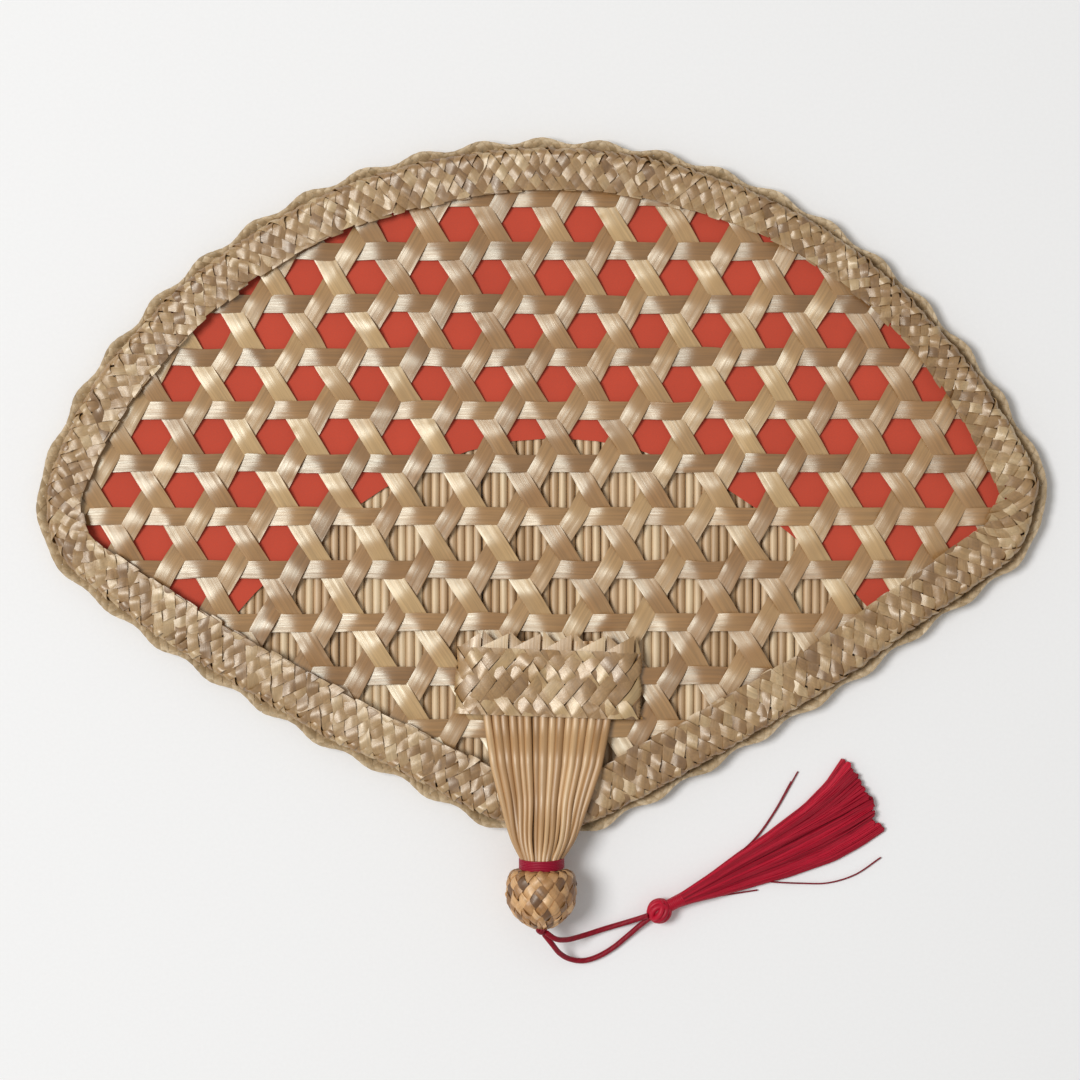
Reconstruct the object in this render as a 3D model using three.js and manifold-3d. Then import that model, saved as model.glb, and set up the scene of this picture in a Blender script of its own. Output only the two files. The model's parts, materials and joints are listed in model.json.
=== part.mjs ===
// A woven straw hand fan, lying on its back, in millimetres.
// +X is to the right, +Y to the fan's top edge and +Z out of its front face.
// A mat of straw stems carries a red card, an open hexagonal weave of flat straw strips lies over both,
// and two edging braids hold the edges. A fan of stems under a plaited sleeve runs down to a bound neck,
// a plaited knob, and a cord loop with a tassel.

import * as THREE from "three";
import { mergeVertices } from "three/addons/utils/BufferGeometryUtils.js";
import Module from "manifold-3d";

const wasm = await Module();
wasm.setup();

// Outline of the fan
const FAN_WIDTH = 323;
const FACE_HEIGHT = 225.6;
const SHOULDER_DROP = 119.6; // from the top of the rim down to the centres of the side corners
const SIDE_CORNER_RADIUS = 30;
const LOWER_SIDE_RADIUS = 1000;
const BOTTOM_ARC_RADIUS = 50;

// Edging braids
const BRAID_THICKNESS = 2.6;
const REAR_BRAID_WIDTH = 17;
const FRONT_BRAID_WIDTH = 14.5;
const RIM_LIP = 3; // how far the rear braid shows past the front one
const ROLL_RADIUS = 4; // the front braid rolls over the panel's edge
const ROLL_WALL = 2.4;
const ROLL_SHOULDER = 0.3; // how far in the middle of the roll lies, as a share of its radius
const SCALLOP_PITCH = 20;
const SCALLOP_DEPTH = 2;
const SCALLOP_STEPS = 4;

// Layers between the braids
const SEAT_GAP = 0.3; // clearance between pieces that rest on each other
const MAT_STEM_DIAMETER = 2.7;
const CORE_STEM_COUNT = 14; // the middle stems of the mat, which run on into the handle
const CARD_THICKNESS = 0.4;
const CARD_ARCH_TOP_DROP = 97.4; // from the top of the rim to the top of the arch cut in the card
const CARD_ARCH_OFFSET = 4.3; // the arch sits this far right of the middle
const CARD_ARCH_HALF_SPAN = 110;
const CARD_ARCH_RISE = 65;

// Hexagonal weave of three sets of strips
const HEX_COLUMN_COUNT = 16.12; // hexagons in the width of the fan
const HEX_ROW_COUNT = 13.26; // rows of hexagons in the height of the face
const HEX_CENTRE_LEFT = 0.0152; // one hexagon's middle is this share of the width left of the fan's middle
const HEX_CENTRE_DOWN = 0.43; // and this share of the face's height below the top of the rim
const ROW_LEAN = 0.023; // each row sits this share of its height left of the row below
const STRIP_WIDTH = 6;
const STRIP_THICKNESS = 0.4;
const WEAVE_SETS = [
  { name: "level_strip", slant: 0, first: -6, last: 4 },
  { name: "falling_strip", slant: -1, first: -8, last: 6 },
  { name: "rising_strip", slant: 1, first: -8, last: 6 },
];

// Handle: stems, sleeve and neck
const HANDLE_STEM_COUNT = 16;
const HANDLE_STEM_DIAMETER = 2.6;
const HANDLE_LEAN = 2.2; // the sleeve end of the handle sits this far right of the middle
const TAPER_POWER = 1.4; // how late the stems draw together on their way to the neck
const SLEEVE_RISE = 21.7; // from the front braid's inner edge up to the sleeve
const SLEEVE_HEIGHT = 28;
const SLEEVE_SIDE_ROOM = 3.2; // between the outermost stems and the sleeve's inside
const SLEEVE_THICKNESS = 2;
const SLEEVE_SLOPE = 4.4; // how far each end of the sleeve leans in
const SLEEVE_TILT = -2;
const STEM_TUCK = 4; // the stems end this far below the sleeve's upper edge
const STEM_RISE_START = 2; // below the sleeve the stems start to rise here
const STEM_RISE_END = 7; // and have risen clear of the front braid this far before its inner edge
const STEM_VALLEY = 0.35; // height of the groove between two joined stems, as a share of their radius
const STEM_GROOVE = 0.6; // depth of that groove in the bound neck
const NECK_LENGTH = 9.8; // from the bottom of the rim to the knob
const NECK_RADIUS = 6.3;
const NECK_TO_KNOB = 2; // length of stem that goes into the knob
const BINDING_LENGTH = 3.4;
const BINDING_THICKNESS = 0.9;
const BINDING_TURNS = 4;

// Knob
const KNOB_LENGTH = 19;
const KNOB_RADIUS = 11.5;
const KNOB_FOOT_RADIUS = 6;
const KNOB_WALL = 1.6;
const KNOB_LIFT = 0.1; // above the surface that the fan lies on
const STOP_KNOT_RADIUS = 1.5;
const CORD_HOLE_ROOM = 0.5; // between the stop knot and the hole that it sits in

// Cord loop and tassel. The cord's points are measured from the stop knot, and up from the resting surface.
const CORD_DIAMETER = 1.8;
const CORD_STEPS = 14;
const UPPER_STRAND = [
  [1.56, -1.1, 12.7],
  [4.3, -3.1, 11.5],
  [7.8, -3.8, 8.4],
  [13.2, -3.0, 3.8],
  [19.6, -1.2, 1.5],
  [27.0, 1.0, 1.6],
  [31.6, 2.6, 3.4],
  [34.2, 3.6, 4.7],
];
const LOWER_STRAND = [
  [0.8, -1.75, 10.5],
  [3.4, -5.1, 9.3],
  [5.8, -8.3, 6.2],
  [9.0, -10.5, 3.0],
  [13.2, -11.3, 1.3],
  [17.6, -10.2, 1.0],
  [22.8, -7.3, 1.0],
  [27.5, -3.5, 1.2],
  [31.6, 0.1, 2.0],
  [34.7, 2.5, 2.6],
];
const TASSEL_KNOT = new THREE.Vector2(37.9, 5.0);
const TASSEL_KNOT_RADIUS = 3.5;
const TASSEL_ANGLE = 28;
const TASSEL_LENGTH = 76; // from the middle of the knot to the ends of the strands
const TASSEL_NECK_RADIUS = 1.9;
const TASSEL_BINDING_LENGTH = 4;
const TASSEL_BINDING_THICKNESS = 0.8;
const SKIRT_WIDTH = 28;
const SKIRT_BELLY = 4.4; // thickest part of the lying skirt
const SKIRT_TIP_THICKNESS = 2.6;
const FLOOR_CLEARANCE = 0.2;

// Fineness of the facets
const PLATE_STEP = 14; // length of a facet round the rim
const LEAST_ARC_STEPS = 4;
const WELD_DISTANCE = 1e-4;
const STEM_POINTS = 3; // points on each side of a stem
const ARCH_STEPS = 16;
const ROUND_STEPS = 28;
const KNOB_STEPS = 5;
const KNOT_STEPS = 14;
const CORD_SIDES = 8;
const SKIRT_SIDES = 14;
const SKIRT_STEPS = 6;

const STRAW = material("#cdb48a", 0.55);
const PALE_STRAW = material("#d8c9a6", 0.5);
const STEM_STRAW = material("#c9a97c", 0.5);
const RED_CARD = material("#c24834", 0.85);
const RED_SILK = material("#b81e33", 0.6);
const DARK_RED_THREAD = material("#96102d", 0.6);

// Heights of the layers, from the surface that the fan lies on
const rearBraidTop = BRAID_THICKNESS;
const matBottom = rearBraidTop + SEAT_GAP;
const matTop = matBottom + MAT_STEM_DIAMETER;
const cardBottom = matTop + SEAT_GAP;
const weaveBottom = cardBottom + CARD_THICKNESS + SEAT_GAP;
const weaveStep = STRIP_THICKNESS + SEAT_GAP;
const weaveTop = weaveBottom + WEAVE_SETS.length * weaveStep - SEAT_GAP;
const frontBraidBottom = weaveTop + SEAT_GAP;
const frontBraidTop = frontBraidBottom + BRAID_THICKNESS;
const handleRadius = HANDLE_STEM_DIAMETER / 2;
const stemLow = weaveTop + SEAT_GAP + handleRadius;
const stemHigh = frontBraidTop + SEAT_GAP + handleRadius;
const coreLow = matBottom + MAT_STEM_DIAMETER / 2;
const knobAxisZ = KNOB_RADIUS + KNOB_LIFT;
const cordHoleRadius = STOP_KNOT_RADIUS + CORD_HOLE_ROOM;

// Places along the fan, with the origin half way between its top and the foot of its knob
const fanLength = FACE_HEIGHT + NECK_LENGTH + KNOB_LENGTH;
const rimTop = fanLength / 2;
const rimBottom = rimTop - FACE_HEIGHT;
const knobTop = rimBottom - NECK_LENGTH;
const knobFoot = knobTop - KNOB_LENGTH;
const frontBraidInner = RIM_LIP + FRONT_BRAID_WIDTH;
const sleeveBottom = rimBottom + frontBraidInner + SLEEVE_RISE;
const sleeveTop = sleeveBottom + SLEEVE_HEIGHT;
const bindingBottom = knobTop + SEAT_GAP;
const neckTop = bindingBottom + BINDING_LENGTH + SEAT_GAP;
const panelInset = RIM_LIP + ROLL_WALL + SEAT_GAP;
const coreHalfWidth = (CORE_STEM_COUNT * MAT_STEM_DIAMETER) / 2;
const handleHalfWidth = (HANDLE_STEM_COUNT * HANDLE_STEM_DIAMETER) / 2;

const fan = new THREE.Group();

function material(color, roughness) {
  return new THREE.MeshStandardMaterial({ color, roughness, metalness: 0 });
}

function addPiece(parent, name, geometry, look) {
  const mesh = new THREE.Mesh(geometry, look);
  mesh.name = name;
  parent.add(mesh);
  return mesh;
}

// A closed geometry as a solid that can be joined or cut.
function solidOf(geometry) {
  const bare = geometry.clone();
  bare.deleteAttribute("normal");
  bare.deleteAttribute("uv");
  const merged = mergeVertices(bare, WELD_DISTANCE);
  const vertProperties = new Float32Array(merged.attributes.position.array);
  const triVerts = new Uint32Array(merged.index.array);
  return new wasm.Manifold(new wasm.Mesh({ numProp: 3, vertProperties, triVerts }));
}

function geometryOf(solid) {
  const { vertProperties, triVerts } = solid.getMesh();
  const geometry = new THREE.BufferGeometry();
  geometry.setAttribute("position", new THREE.BufferAttribute(vertProperties, 3));
  geometry.setIndex(new THREE.BufferAttribute(triVerts, 1));
  geometry.computeVertexNormals();
  return geometry;
}

function indexedGeometry(positions, index) {
  const geometry = new THREE.BufferGeometry();
  geometry.setAttribute("position", new THREE.Float32BufferAttribute(positions, 3));
  geometry.setIndex(index);
  geometry.computeVertexNormals();
  return geometry;
}

// A solid through outlines of equal point count, each { at, outline }, with at rising along local +Z.
function loft(sections) {
  const count = sections[0].outline.length;
  const lastStart = (sections.length - 1) * count;
  const positions = sections.flatMap(({ at, outline }) => outline.flatMap((p) => [p.x, p.y, at]));
  const index = [];
  for (let start = 0; start < lastStart; start += count) {
    for (let i = 0; i < count; i += 1) {
      const a = start + i;
      const b = start + ((i + 1) % count);
      index.push(a, b, b + count, a, b + count, a + count);
    }
  }
  for (const [a, b, c] of THREE.ShapeUtils.triangulateShape(sections[0].outline, [])) {
    index.push(c, b, a);
  }
  for (const [a, b, c] of THREE.ShapeUtils.triangulateShape(sections.at(-1).outline, [])) {
    index.push(lastStart + a, lastStart + b, lastStart + c);
  }
  return indexedGeometry(positions, index);
}

// The rim is a chain of arcs that flow into each other, counter-clockwise from the right shoulder.
function rimArcs() {
  const cornerX = FAN_WIDTH / 2 - SIDE_CORNER_RADIUS;
  const cornerY = rimTop - SHOULDER_DROP;
  const cornerBelow = SHOULDER_DROP - SIDE_CORNER_RADIUS;
  const topRadius = (cornerX ** 2 + SHOULDER_DROP ** 2 - SIDE_CORNER_RADIUS ** 2) / (2 * cornerBelow);
  const topCentreY = rimTop - topRadius;
  const shoulder = Math.atan2(cornerY - topCentreY, cornerX);

  const bottomY = rimBottom + BOTTOM_ARC_RADIUS;
  const cornerReach = LOWER_SIDE_RADIUS - SIDE_CORNER_RADIUS;
  const bottomReach = LOWER_SIDE_RADIUS - BOTTOM_ARC_RADIUS;
  const span = Math.hypot(cornerX, cornerY - bottomY);
  const turn = Math.acos((cornerReach ** 2 + span ** 2 - bottomReach ** 2) / (2 * cornerReach * span));
  const toCentre = Math.atan2(bottomY - cornerY, -cornerX) - turn;
  const sideX = cornerX + cornerReach * Math.cos(toCentre);
  const sideY = cornerY + cornerReach * Math.sin(toCentre);
  const sideStart = Math.atan2(bottomY - sideY, -sideX);
  const sideEnd = Math.atan2(cornerY - sideY, cornerX - sideX);

  return [
    { x: 0, y: topCentreY, radius: topRadius, from: shoulder, to: Math.PI - shoulder },
    { x: -cornerX, y: cornerY, radius: SIDE_CORNER_RADIUS, from: Math.PI - shoulder, to: Math.PI - sideEnd },
    { x: -sideX, y: sideY, radius: LOWER_SIDE_RADIUS, from: Math.PI - sideEnd, to: Math.PI - sideStart },
    { x: 0, y: bottomY, radius: BOTTOM_ARC_RADIUS, from: -Math.PI - sideStart, to: sideStart },
    { x: sideX, y: sideY, radius: LOWER_SIDE_RADIUS, from: sideStart, to: sideEnd },
    { x: cornerX, y: cornerY, radius: SIDE_CORNER_RADIUS, from: sideEnd, to: shoulder },
  ];
}

// Stations round the rim, each on its arc's radius and at its distance along the rim.
function rimStations(step) {
  const stations = [];
  let along = 0;
  for (const { x, y, radius, from, to } of rimArcs()) {
    const length = radius * (to - from);
    const steps = Math.max(LEAST_ARC_STEPS, Math.round(length / step));
    for (let i = 0; i < steps; i += 1) {
      const share = i / steps;
      stations.push({ x, y, radius, angle: from + (to - from) * share, along: along + length * share });
    }
    along += length;
  }
  return { stations, perimeter: along };
}

function rimPoint({ x, y, radius, angle }, inset) {
  return new THREE.Vector2(x + (radius - inset) * Math.cos(angle), y + (radius - inset) * Math.sin(angle));
}

function rimPlate(inset, bottom, thickness) {
  const { stations } = rimStations(PLATE_STEP);
  const outline = new THREE.Shape(stations.map((station) => rimPoint(station, inset)));
  const plate = new THREE.ExtrudeGeometry(outline, { depth: thickness, bevelEnabled: false });
  return plate.translate(0, 0, bottom);
}

// A ring with the given section, each corner { inset, z }, carried round the rim.
// wave moves the corners that are marked as edge.
function rimRing(section, step, wave) {
  const { stations, perimeter } = rimStations(step);
  const count = section.length;
  const positions = [];
  const index = [];
  stations.forEach((station, k) => {
    const next = (k + 1) % stations.length;
    section.forEach(({ inset, z, edge }, j) => {
      const shift = edge ? wave(station.along, perimeter) : 0;
      const point = rimPoint(station, inset + shift);
      positions.push(point.x, point.y, z);
      const a = k * count + j;
      const b = k * count + ((j + 1) % count);
      const c = next * count + ((j + 1) % count);
      const d = next * count + j;
      index.push(a, d, c, a, c, b);
    });
  });
  return indexedGeometry(positions, index);
}

function scallop(along, perimeter) {
  const count = Math.round(perimeter / SCALLOP_PITCH);
  const topArc = rimArcs()[0];
  const topMiddle = (topArc.radius * (topArc.to - topArc.from)) / 2;
  const phase = (2 * Math.PI * count * (along - topMiddle)) / perimeter;
  return (SCALLOP_DEPTH * (1 - Math.cos(phase))) / 2;
}

function rearBraid() {
  const section = [
    { inset: 0, z: 0, edge: true },
    { inset: 0, z: rearBraidTop, edge: true },
    { inset: REAR_BRAID_WIDTH, z: rearBraidTop },
    { inset: REAR_BRAID_WIDTH, z: 0 },
  ];
  return rimRing(section, SCALLOP_PITCH / SCALLOP_STEPS, scallop);
}

// The front braid lies flat on the weave and rolls down over the panel's edge to the rear braid.
// A gap in its rolled wall lets the middle stems of the mat out to the handle.
function frontBraid() {
  const rollBottom = rearBraidTop + SEAT_GAP;
  const section = [
    { inset: RIM_LIP, z: rollBottom },
    { inset: RIM_LIP, z: frontBraidTop - ROLL_RADIUS },
    { inset: RIM_LIP + ROLL_RADIUS * ROLL_SHOULDER, z: frontBraidTop - ROLL_RADIUS * ROLL_SHOULDER },
    { inset: RIM_LIP + ROLL_RADIUS, z: frontBraidTop },
    { inset: frontBraidInner, z: frontBraidTop },
    { inset: frontBraidInner, z: frontBraidBottom },
    { inset: RIM_LIP + ROLL_WALL, z: frontBraidBottom },
    { inset: RIM_LIP + ROLL_WALL, z: rollBottom },
  ];
  const gapHalfWidth = stemHalfWidth(coreHalfWidth, rimBottom + frontBraidInner / 2) + SEAT_GAP;
  const gapHeight = matTop + SEAT_GAP;
  const gap = new THREE.BoxGeometry(2 * gapHalfWidth, frontBraidInner, gapHeight);
  gap.translate(0, rimBottom, gapHeight / 2);
  return geometryOf(solidOf(rimRing(section, PLATE_STEP)).subtract(solidOf(gap)));
}

// How far a row of stems has drawn together, from 0 at the sleeve to 1 at the neck.
function taperAt(y) {
  const share = (sleeveBottom - y) / (sleeveBottom - neckTop);
  return THREE.MathUtils.clamp(share, 0, 1) ** TAPER_POWER;
}

function stemHalfWidth(flatHalfWidth, y) {
  return THREE.MathUtils.lerp(flatHalfWidth, NECK_RADIUS, taperAt(y));
}

// Outline across a row of joined stems.
// A bundled row is a half disc that lies above or below the neck's middle.
function stemRowOutline({ count, radius, middle, height, halfWidth, bundled, side }) {
  const edge = (outward) => {
    const points = [];
    for (let i = 0; i <= count * STEM_POINTS; i += 1) {
      const share = i / (count * STEM_POINTS);
      const valley = i % STEM_POINTS === 0;
      const across = 2 * share - 1;
      if (!bundled) {
        const bulge = valley ? STEM_VALLEY : 1;
        points.push(new THREE.Vector2(middle + across * halfWidth, height + outward * radius * bulge));
        continue;
      }
      const reach = valley ? NECK_RADIUS - STEM_GROOVE : NECK_RADIUS;
      const arch = outward === side ? STEM_GROOVE + (reach - STEM_GROOVE) * Math.sin(share * Math.PI) : 0;
      const x = outward === side ? -reach * Math.cos(share * Math.PI) : across * (NECK_RADIUS - STEM_GROOVE);
      points.push(new THREE.Vector2(x, knobAxisZ + side * (SEAT_GAP / 2 + arch)));
    }
    return points;
  };
  return [...edge(-1), ...edge(1).reverse()];
}

// A row of stems through stations from its upper end down to the knob.
function stemRow(row, stations) {
  const sections = stations.map(({ y, z, bundled }) => {
    const halfWidth = stemHalfWidth(row.flatHalfWidth, y);
    const middle = row.lean * (1 - taperAt(y));
    return { at: -y, outline: stemRowOutline({ ...row, middle, height: z, halfWidth, bundled }) };
  });
  return loft(sections).rotateX(Math.PI / 2);
}

function coreStems() {
  const topArc = rimArcs()[0];
  const coreTop = topArc.y + Math.sqrt((topArc.radius - panelInset) ** 2 - coreHalfWidth ** 2);
  const row = {
    count: CORE_STEM_COUNT,
    radius: MAT_STEM_DIAMETER / 2,
    flatHalfWidth: coreHalfWidth,
    lean: 0,
    side: -1,
  };
  return stemRow(row, [
    { y: coreTop, z: coreLow },
    { y: sleeveBottom, z: coreLow },
    { y: rimBottom + frontBraidInner, z: coreLow },
    { y: rimBottom + RIM_LIP / 2, z: coreLow },
    { y: neckTop, bundled: true },
    { y: knobTop - NECK_TO_KNOB, bundled: true },
  ]);
}

function handleStems() {
  const row = {
    count: HANDLE_STEM_COUNT,
    radius: handleRadius,
    flatHalfWidth: handleHalfWidth,
    lean: HANDLE_LEAN,
    side: 1,
  };
  return stemRow(row, [
    { y: sleeveTop - STEM_TUCK, z: stemLow },
    { y: sleeveBottom - STEM_RISE_START, z: stemLow },
    { y: rimBottom + frontBraidInner + STEM_RISE_END, z: stemHigh },
    { y: rimBottom + frontBraidInner / 2, z: stemHigh },
    { y: rimBottom + RIM_LIP / 2, z: stemHigh },
    { y: neckTop, bundled: true },
    { y: knobTop - NECK_TO_KNOB, bundled: true },
  ]);
}

// One half of the stem mat, beside the middle stems, on the side given as -1 or 1.
function matHalf(side) {
  const innerX = coreHalfWidth + SEAT_GAP;
  const count = Math.ceil((FAN_WIDTH / 2 - innerX) / MAT_STEM_DIAMETER);
  const halfWidth = (count * MAT_STEM_DIAMETER) / 2;
  const outline = stemRowOutline({
    count,
    radius: MAT_STEM_DIAMETER / 2,
    middle: side * (innerX + halfWidth),
    height: coreLow,
    halfWidth,
  });
  const stems = loft([
    { at: -rimTop, outline },
    { at: -rimBottom, outline },
  ]).rotateX(Math.PI / 2);
  const panel = rimPlate(panelInset, 0, frontBraidTop);
  return geometryOf(solidOf(stems).intersect(solidOf(panel)));
}

// The red card stops at an arch, below which the stems show between the strips.
function card() {
  const archTop = rimTop - CARD_ARCH_TOP_DROP;
  const archFoot = archTop - CARD_ARCH_RISE;
  const left = CARD_ARCH_OFFSET - CARD_ARCH_HALF_SPAN;
  const right = CARD_ARCH_OFFSET + CARD_ARCH_HALF_SPAN;
  const arch = new THREE.Shape();
  arch.moveTo(left, 2 * rimBottom);
  arch.lineTo(right, 2 * rimBottom);
  arch.lineTo(right, archFoot);
  arch.quadraticCurveTo(CARD_ARCH_OFFSET, archTop + CARD_ARCH_RISE, left, archFoot);
  const depth = frontBraidTop;
  const cut = new THREE.ExtrudeGeometry(arch, { depth, bevelEnabled: false, curveSegments: ARCH_STEPS });
  const sheet = rimPlate(panelInset, cardBottom, CARD_THICKNESS);
  return geometryOf(solidOf(sheet).subtract(solidOf(cut)));
}

// Each set of strips runs one way, past the sides of the hexagons, and has its own level in the stack.
// The hexagons fill the face in both directions, so a slanted set follows its own diagonal.
function addWeave() {
  const hexX = -HEX_CENTRE_LEFT * FAN_WIDTH;
  const hexY = rimTop - HEX_CENTRE_DOWN * FACE_HEIGHT;
  const hexPitch = FAN_WIDTH / HEX_COLUMN_COUNT;
  const rowPitch = FACE_HEIGHT / HEX_ROW_COUNT;
  const panel = solidOf(rimPlate(panelInset, 0, frontBraidTop));
  WEAVE_SETS.forEach(({ name, slant, first, last }, level) => {
    const diagonal = Math.atan2(rowPitch, hexPitch / 2 - slant * ROW_LEAN * rowPitch);
    const spacing = slant === 0 ? rowPitch : hexPitch * Math.sin(diagonal);
    const z = weaveBottom + level * weaveStep + STRIP_THICKNESS / 2;
    for (let row = first; row <= last; row += 1) {
      const offset = (row + 0.5) * spacing;
      const strip = new THREE.BoxGeometry(2 * FAN_WIDTH, STRIP_WIDTH, STRIP_THICKNESS);
      strip.translate(0, offset, 0).rotateZ(slant * diagonal).translate(hexX, hexY, z);
      const trimmed = solidOf(strip).intersect(panel);
      if (trimmed.isEmpty()) continue;
      const number = String(row - first + 1).padStart(2, "0");
      addPiece(fan, `${name}_${number}`, geometryOf(trimmed), STRAW);
    }
  });
}

// A plaited band that bridges the upper ends of the handle's stems.
function sleeve() {
  const half = handleHalfWidth + SLEEVE_SIDE_ROOM + SLEEVE_SLOPE + SLEEVE_THICKNESS;
  const base = weaveTop + SEAT_GAP;
  const inside = stemLow + handleRadius + SEAT_GAP;
  const top = inside + SLEEVE_THICKNESS;
  const foot = half - SLEEVE_THICKNESS;
  const outline = [
    [-half, base],
    [-foot, base],
    [SLEEVE_SLOPE - foot, inside],
    [foot - SLEEVE_SLOPE, inside],
    [foot, base],
    [half, base],
    [half - SLEEVE_SLOPE, top],
    [SLEEVE_SLOPE - half, top],
  ].map(([x, z]) => new THREE.Vector2(x, z));
  return loft([
    { at: -SLEEVE_HEIGHT / 2, outline },
    { at: SLEEVE_HEIGHT / 2, outline },
  ]).rotateX(Math.PI / 2);
}

// A ring of thread turns about local Y, from bottom to top.
function threadRing(innerRadius, thickness, bottom, length, turns) {
  const points = [new THREE.Vector2(innerRadius, bottom)];
  const rise = length / turns;
  for (let turn = 0; turn < turns; turn += 1) {
    const start = bottom + turn * rise;
    points.push(new THREE.Vector2(innerRadius + thickness / 2, start));
    points.push(new THREE.Vector2(innerRadius + thickness, start + rise / 2));
  }
  points.push(new THREE.Vector2(innerRadius + thickness / 2, bottom + length));
  points.push(new THREE.Vector2(innerRadius, bottom + length));
  points.push(points[0].clone());
  return new THREE.LatheGeometry(points, ROUND_STEPS);
}

// The knob's side from its foot to its top, drawn in by inset.
// It is a quarter ellipse below the waist and another above it.
function knobSide(inset, foot, top) {
  const waist = (knobTop + knobFoot) / 2;
  const widest = KNOB_RADIUS - inset;
  const footRadius = KNOB_FOOT_RADIUS - inset / 2;
  const topRadius = NECK_RADIUS + SEAT_GAP + KNOB_WALL - inset;
  const below = new THREE.EllipseCurve(footRadius, waist, widest - footRadius, waist - foot, -Math.PI / 2, 0);
  const above = new THREE.EllipseCurve(topRadius, waist, widest - topRadius, top - waist, 0, Math.PI / 2);
  return [...below.getPoints(KNOB_STEPS), ...above.getPoints(KNOB_STEPS).slice(1)];
}

function knobPlait() {
  const innerFoot = knobFoot + KNOB_WALL;
  const points = [
    new THREE.Vector2(cordHoleRadius, knobFoot),
    ...knobSide(0, knobFoot, knobTop),
    ...knobSide(KNOB_WALL, innerFoot, knobTop).reverse(),
    new THREE.Vector2(cordHoleRadius, innerFoot),
    new THREE.Vector2(cordHoleRadius, knobFoot),
  ];
  return new THREE.LatheGeometry(points, ROUND_STEPS);
}

function knobCore() {
  const foot = knobFoot + KNOB_WALL + SEAT_GAP;
  const top = knobTop - NECK_TO_KNOB - SEAT_GAP;
  const points = [
    new THREE.Vector2(0, foot),
    ...knobSide(KNOB_WALL + SEAT_GAP, foot, top),
    new THREE.Vector2(0, top),
  ];
  return new THREE.LatheGeometry(points, ROUND_STEPS);
}

function cordStrand(points) {
  const section = new THREE.Shape();
  for (let side = 0; side < CORD_SIDES; side += 1) {
    const angle = (2 * Math.PI * side) / CORD_SIDES;
    const x = (CORD_DIAMETER / 2) * Math.cos(angle);
    const y = (CORD_DIAMETER / 2) * Math.sin(angle);
    if (side === 0) section.moveTo(x, y);
    else section.lineTo(x, y);
  }
  const path = new THREE.CatmullRomCurve3(points.map((p) => new THREE.Vector3(...p)), false, "centripetal");
  return new THREE.ExtrudeGeometry(section, { steps: CORD_STEPS, extrudePath: path, bevelEnabled: false });
}

// The tassel lies along local +X, with the middle of its knot over the origin.
function addTassel(parent) {
  const axisZ = TASSEL_KNOT_RADIUS + FLOOR_CLEARANCE;
  const skirtStart = TASSEL_KNOT_RADIUS + SEAT_GAP;
  const bindingStart = skirtStart + SEAT_GAP;
  const flareStart = bindingStart + TASSEL_BINDING_LENGTH;

  const knot = new THREE.SphereGeometry(TASSEL_KNOT_RADIUS, KNOT_STEPS, KNOT_STEPS / 2);
  addPiece(parent, "tassel_knot", knot, RED_SILK).position.z = axisZ;

  const ring = threadRing(
    TASSEL_NECK_RADIUS + SEAT_GAP,
    TASSEL_BINDING_THICKNESS,
    bindingStart,
    TASSEL_BINDING_LENGTH,
    BINDING_TURNS,
  ).rotateZ(-Math.PI / 2);
  addPiece(parent, "tassel_binding", ring, DARK_RED_THREAD).position.z = axisZ;

  const neckThickness = 2 * TASSEL_NECK_RADIUS;
  const oval = (at, halfWidth, thickness, z) => {
    const outline = [];
    for (let i = 0; i < SKIRT_SIDES; i += 1) {
      const angle = (2 * Math.PI * i) / SKIRT_SIDES;
      outline.push(new THREE.Vector2(halfWidth * Math.cos(angle), z + (thickness / 2) * Math.sin(angle)));
    }
    return { at, outline };
  };
  const sections = [oval(skirtStart, TASSEL_NECK_RADIUS, neckThickness, axisZ)];
  for (let step = 0; step <= SKIRT_STEPS; step += 1) {
    const t = step / SKIRT_STEPS;
    const halfWidth = THREE.MathUtils.lerp(TASSEL_NECK_RADIUS, SKIRT_WIDTH / 2, t);
    const belly = 2 * t * (1 - t) * SKIRT_BELLY;
    const thickness = (1 - t) ** 2 * neckThickness + belly + t ** 2 * SKIRT_TIP_THICKNESS;
    const lying = FLOOR_CLEARANCE + thickness / 2;
    const z = THREE.MathUtils.lerp(lying, axisZ, (1 - t) ** 3);
    sections.push(oval(THREE.MathUtils.lerp(flareStart, TASSEL_LENGTH, t), halfWidth, thickness, z));
  }
  const lengthwise = new THREE.Matrix4().makeBasis(
    new THREE.Vector3(0, 1, 0),
    new THREE.Vector3(0, 0, 1),
    new THREE.Vector3(1, 0, 0),
  );
  addPiece(parent, "tassel_skirt", loft(sections).applyMatrix4(lengthwise), RED_SILK);
}

// Panel and edging
addPiece(fan, "rear_edging_braid", rearBraid(), PALE_STRAW);
addPiece(fan, "stem_mat_left", matHalf(-1), STEM_STRAW);
addPiece(fan, "stem_mat_right", matHalf(1), STEM_STRAW);
addPiece(fan, "core_stems", coreStems(), STEM_STRAW);
addPiece(fan, "red_card", card(), RED_CARD);
addWeave();
addPiece(fan, "front_edging_braid", frontBraid(), STRAW);

// Handle
addPiece(fan, "handle_stems", handleStems(), STEM_STRAW);
const sleeveMesh = addPiece(fan, "handle_sleeve", sleeve(), STRAW);
sleeveMesh.position.set(HANDLE_LEAN, sleeveBottom + SLEEVE_HEIGHT / 2, 0);
sleeveMesh.rotation.z = THREE.MathUtils.degToRad(SLEEVE_TILT);

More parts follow.
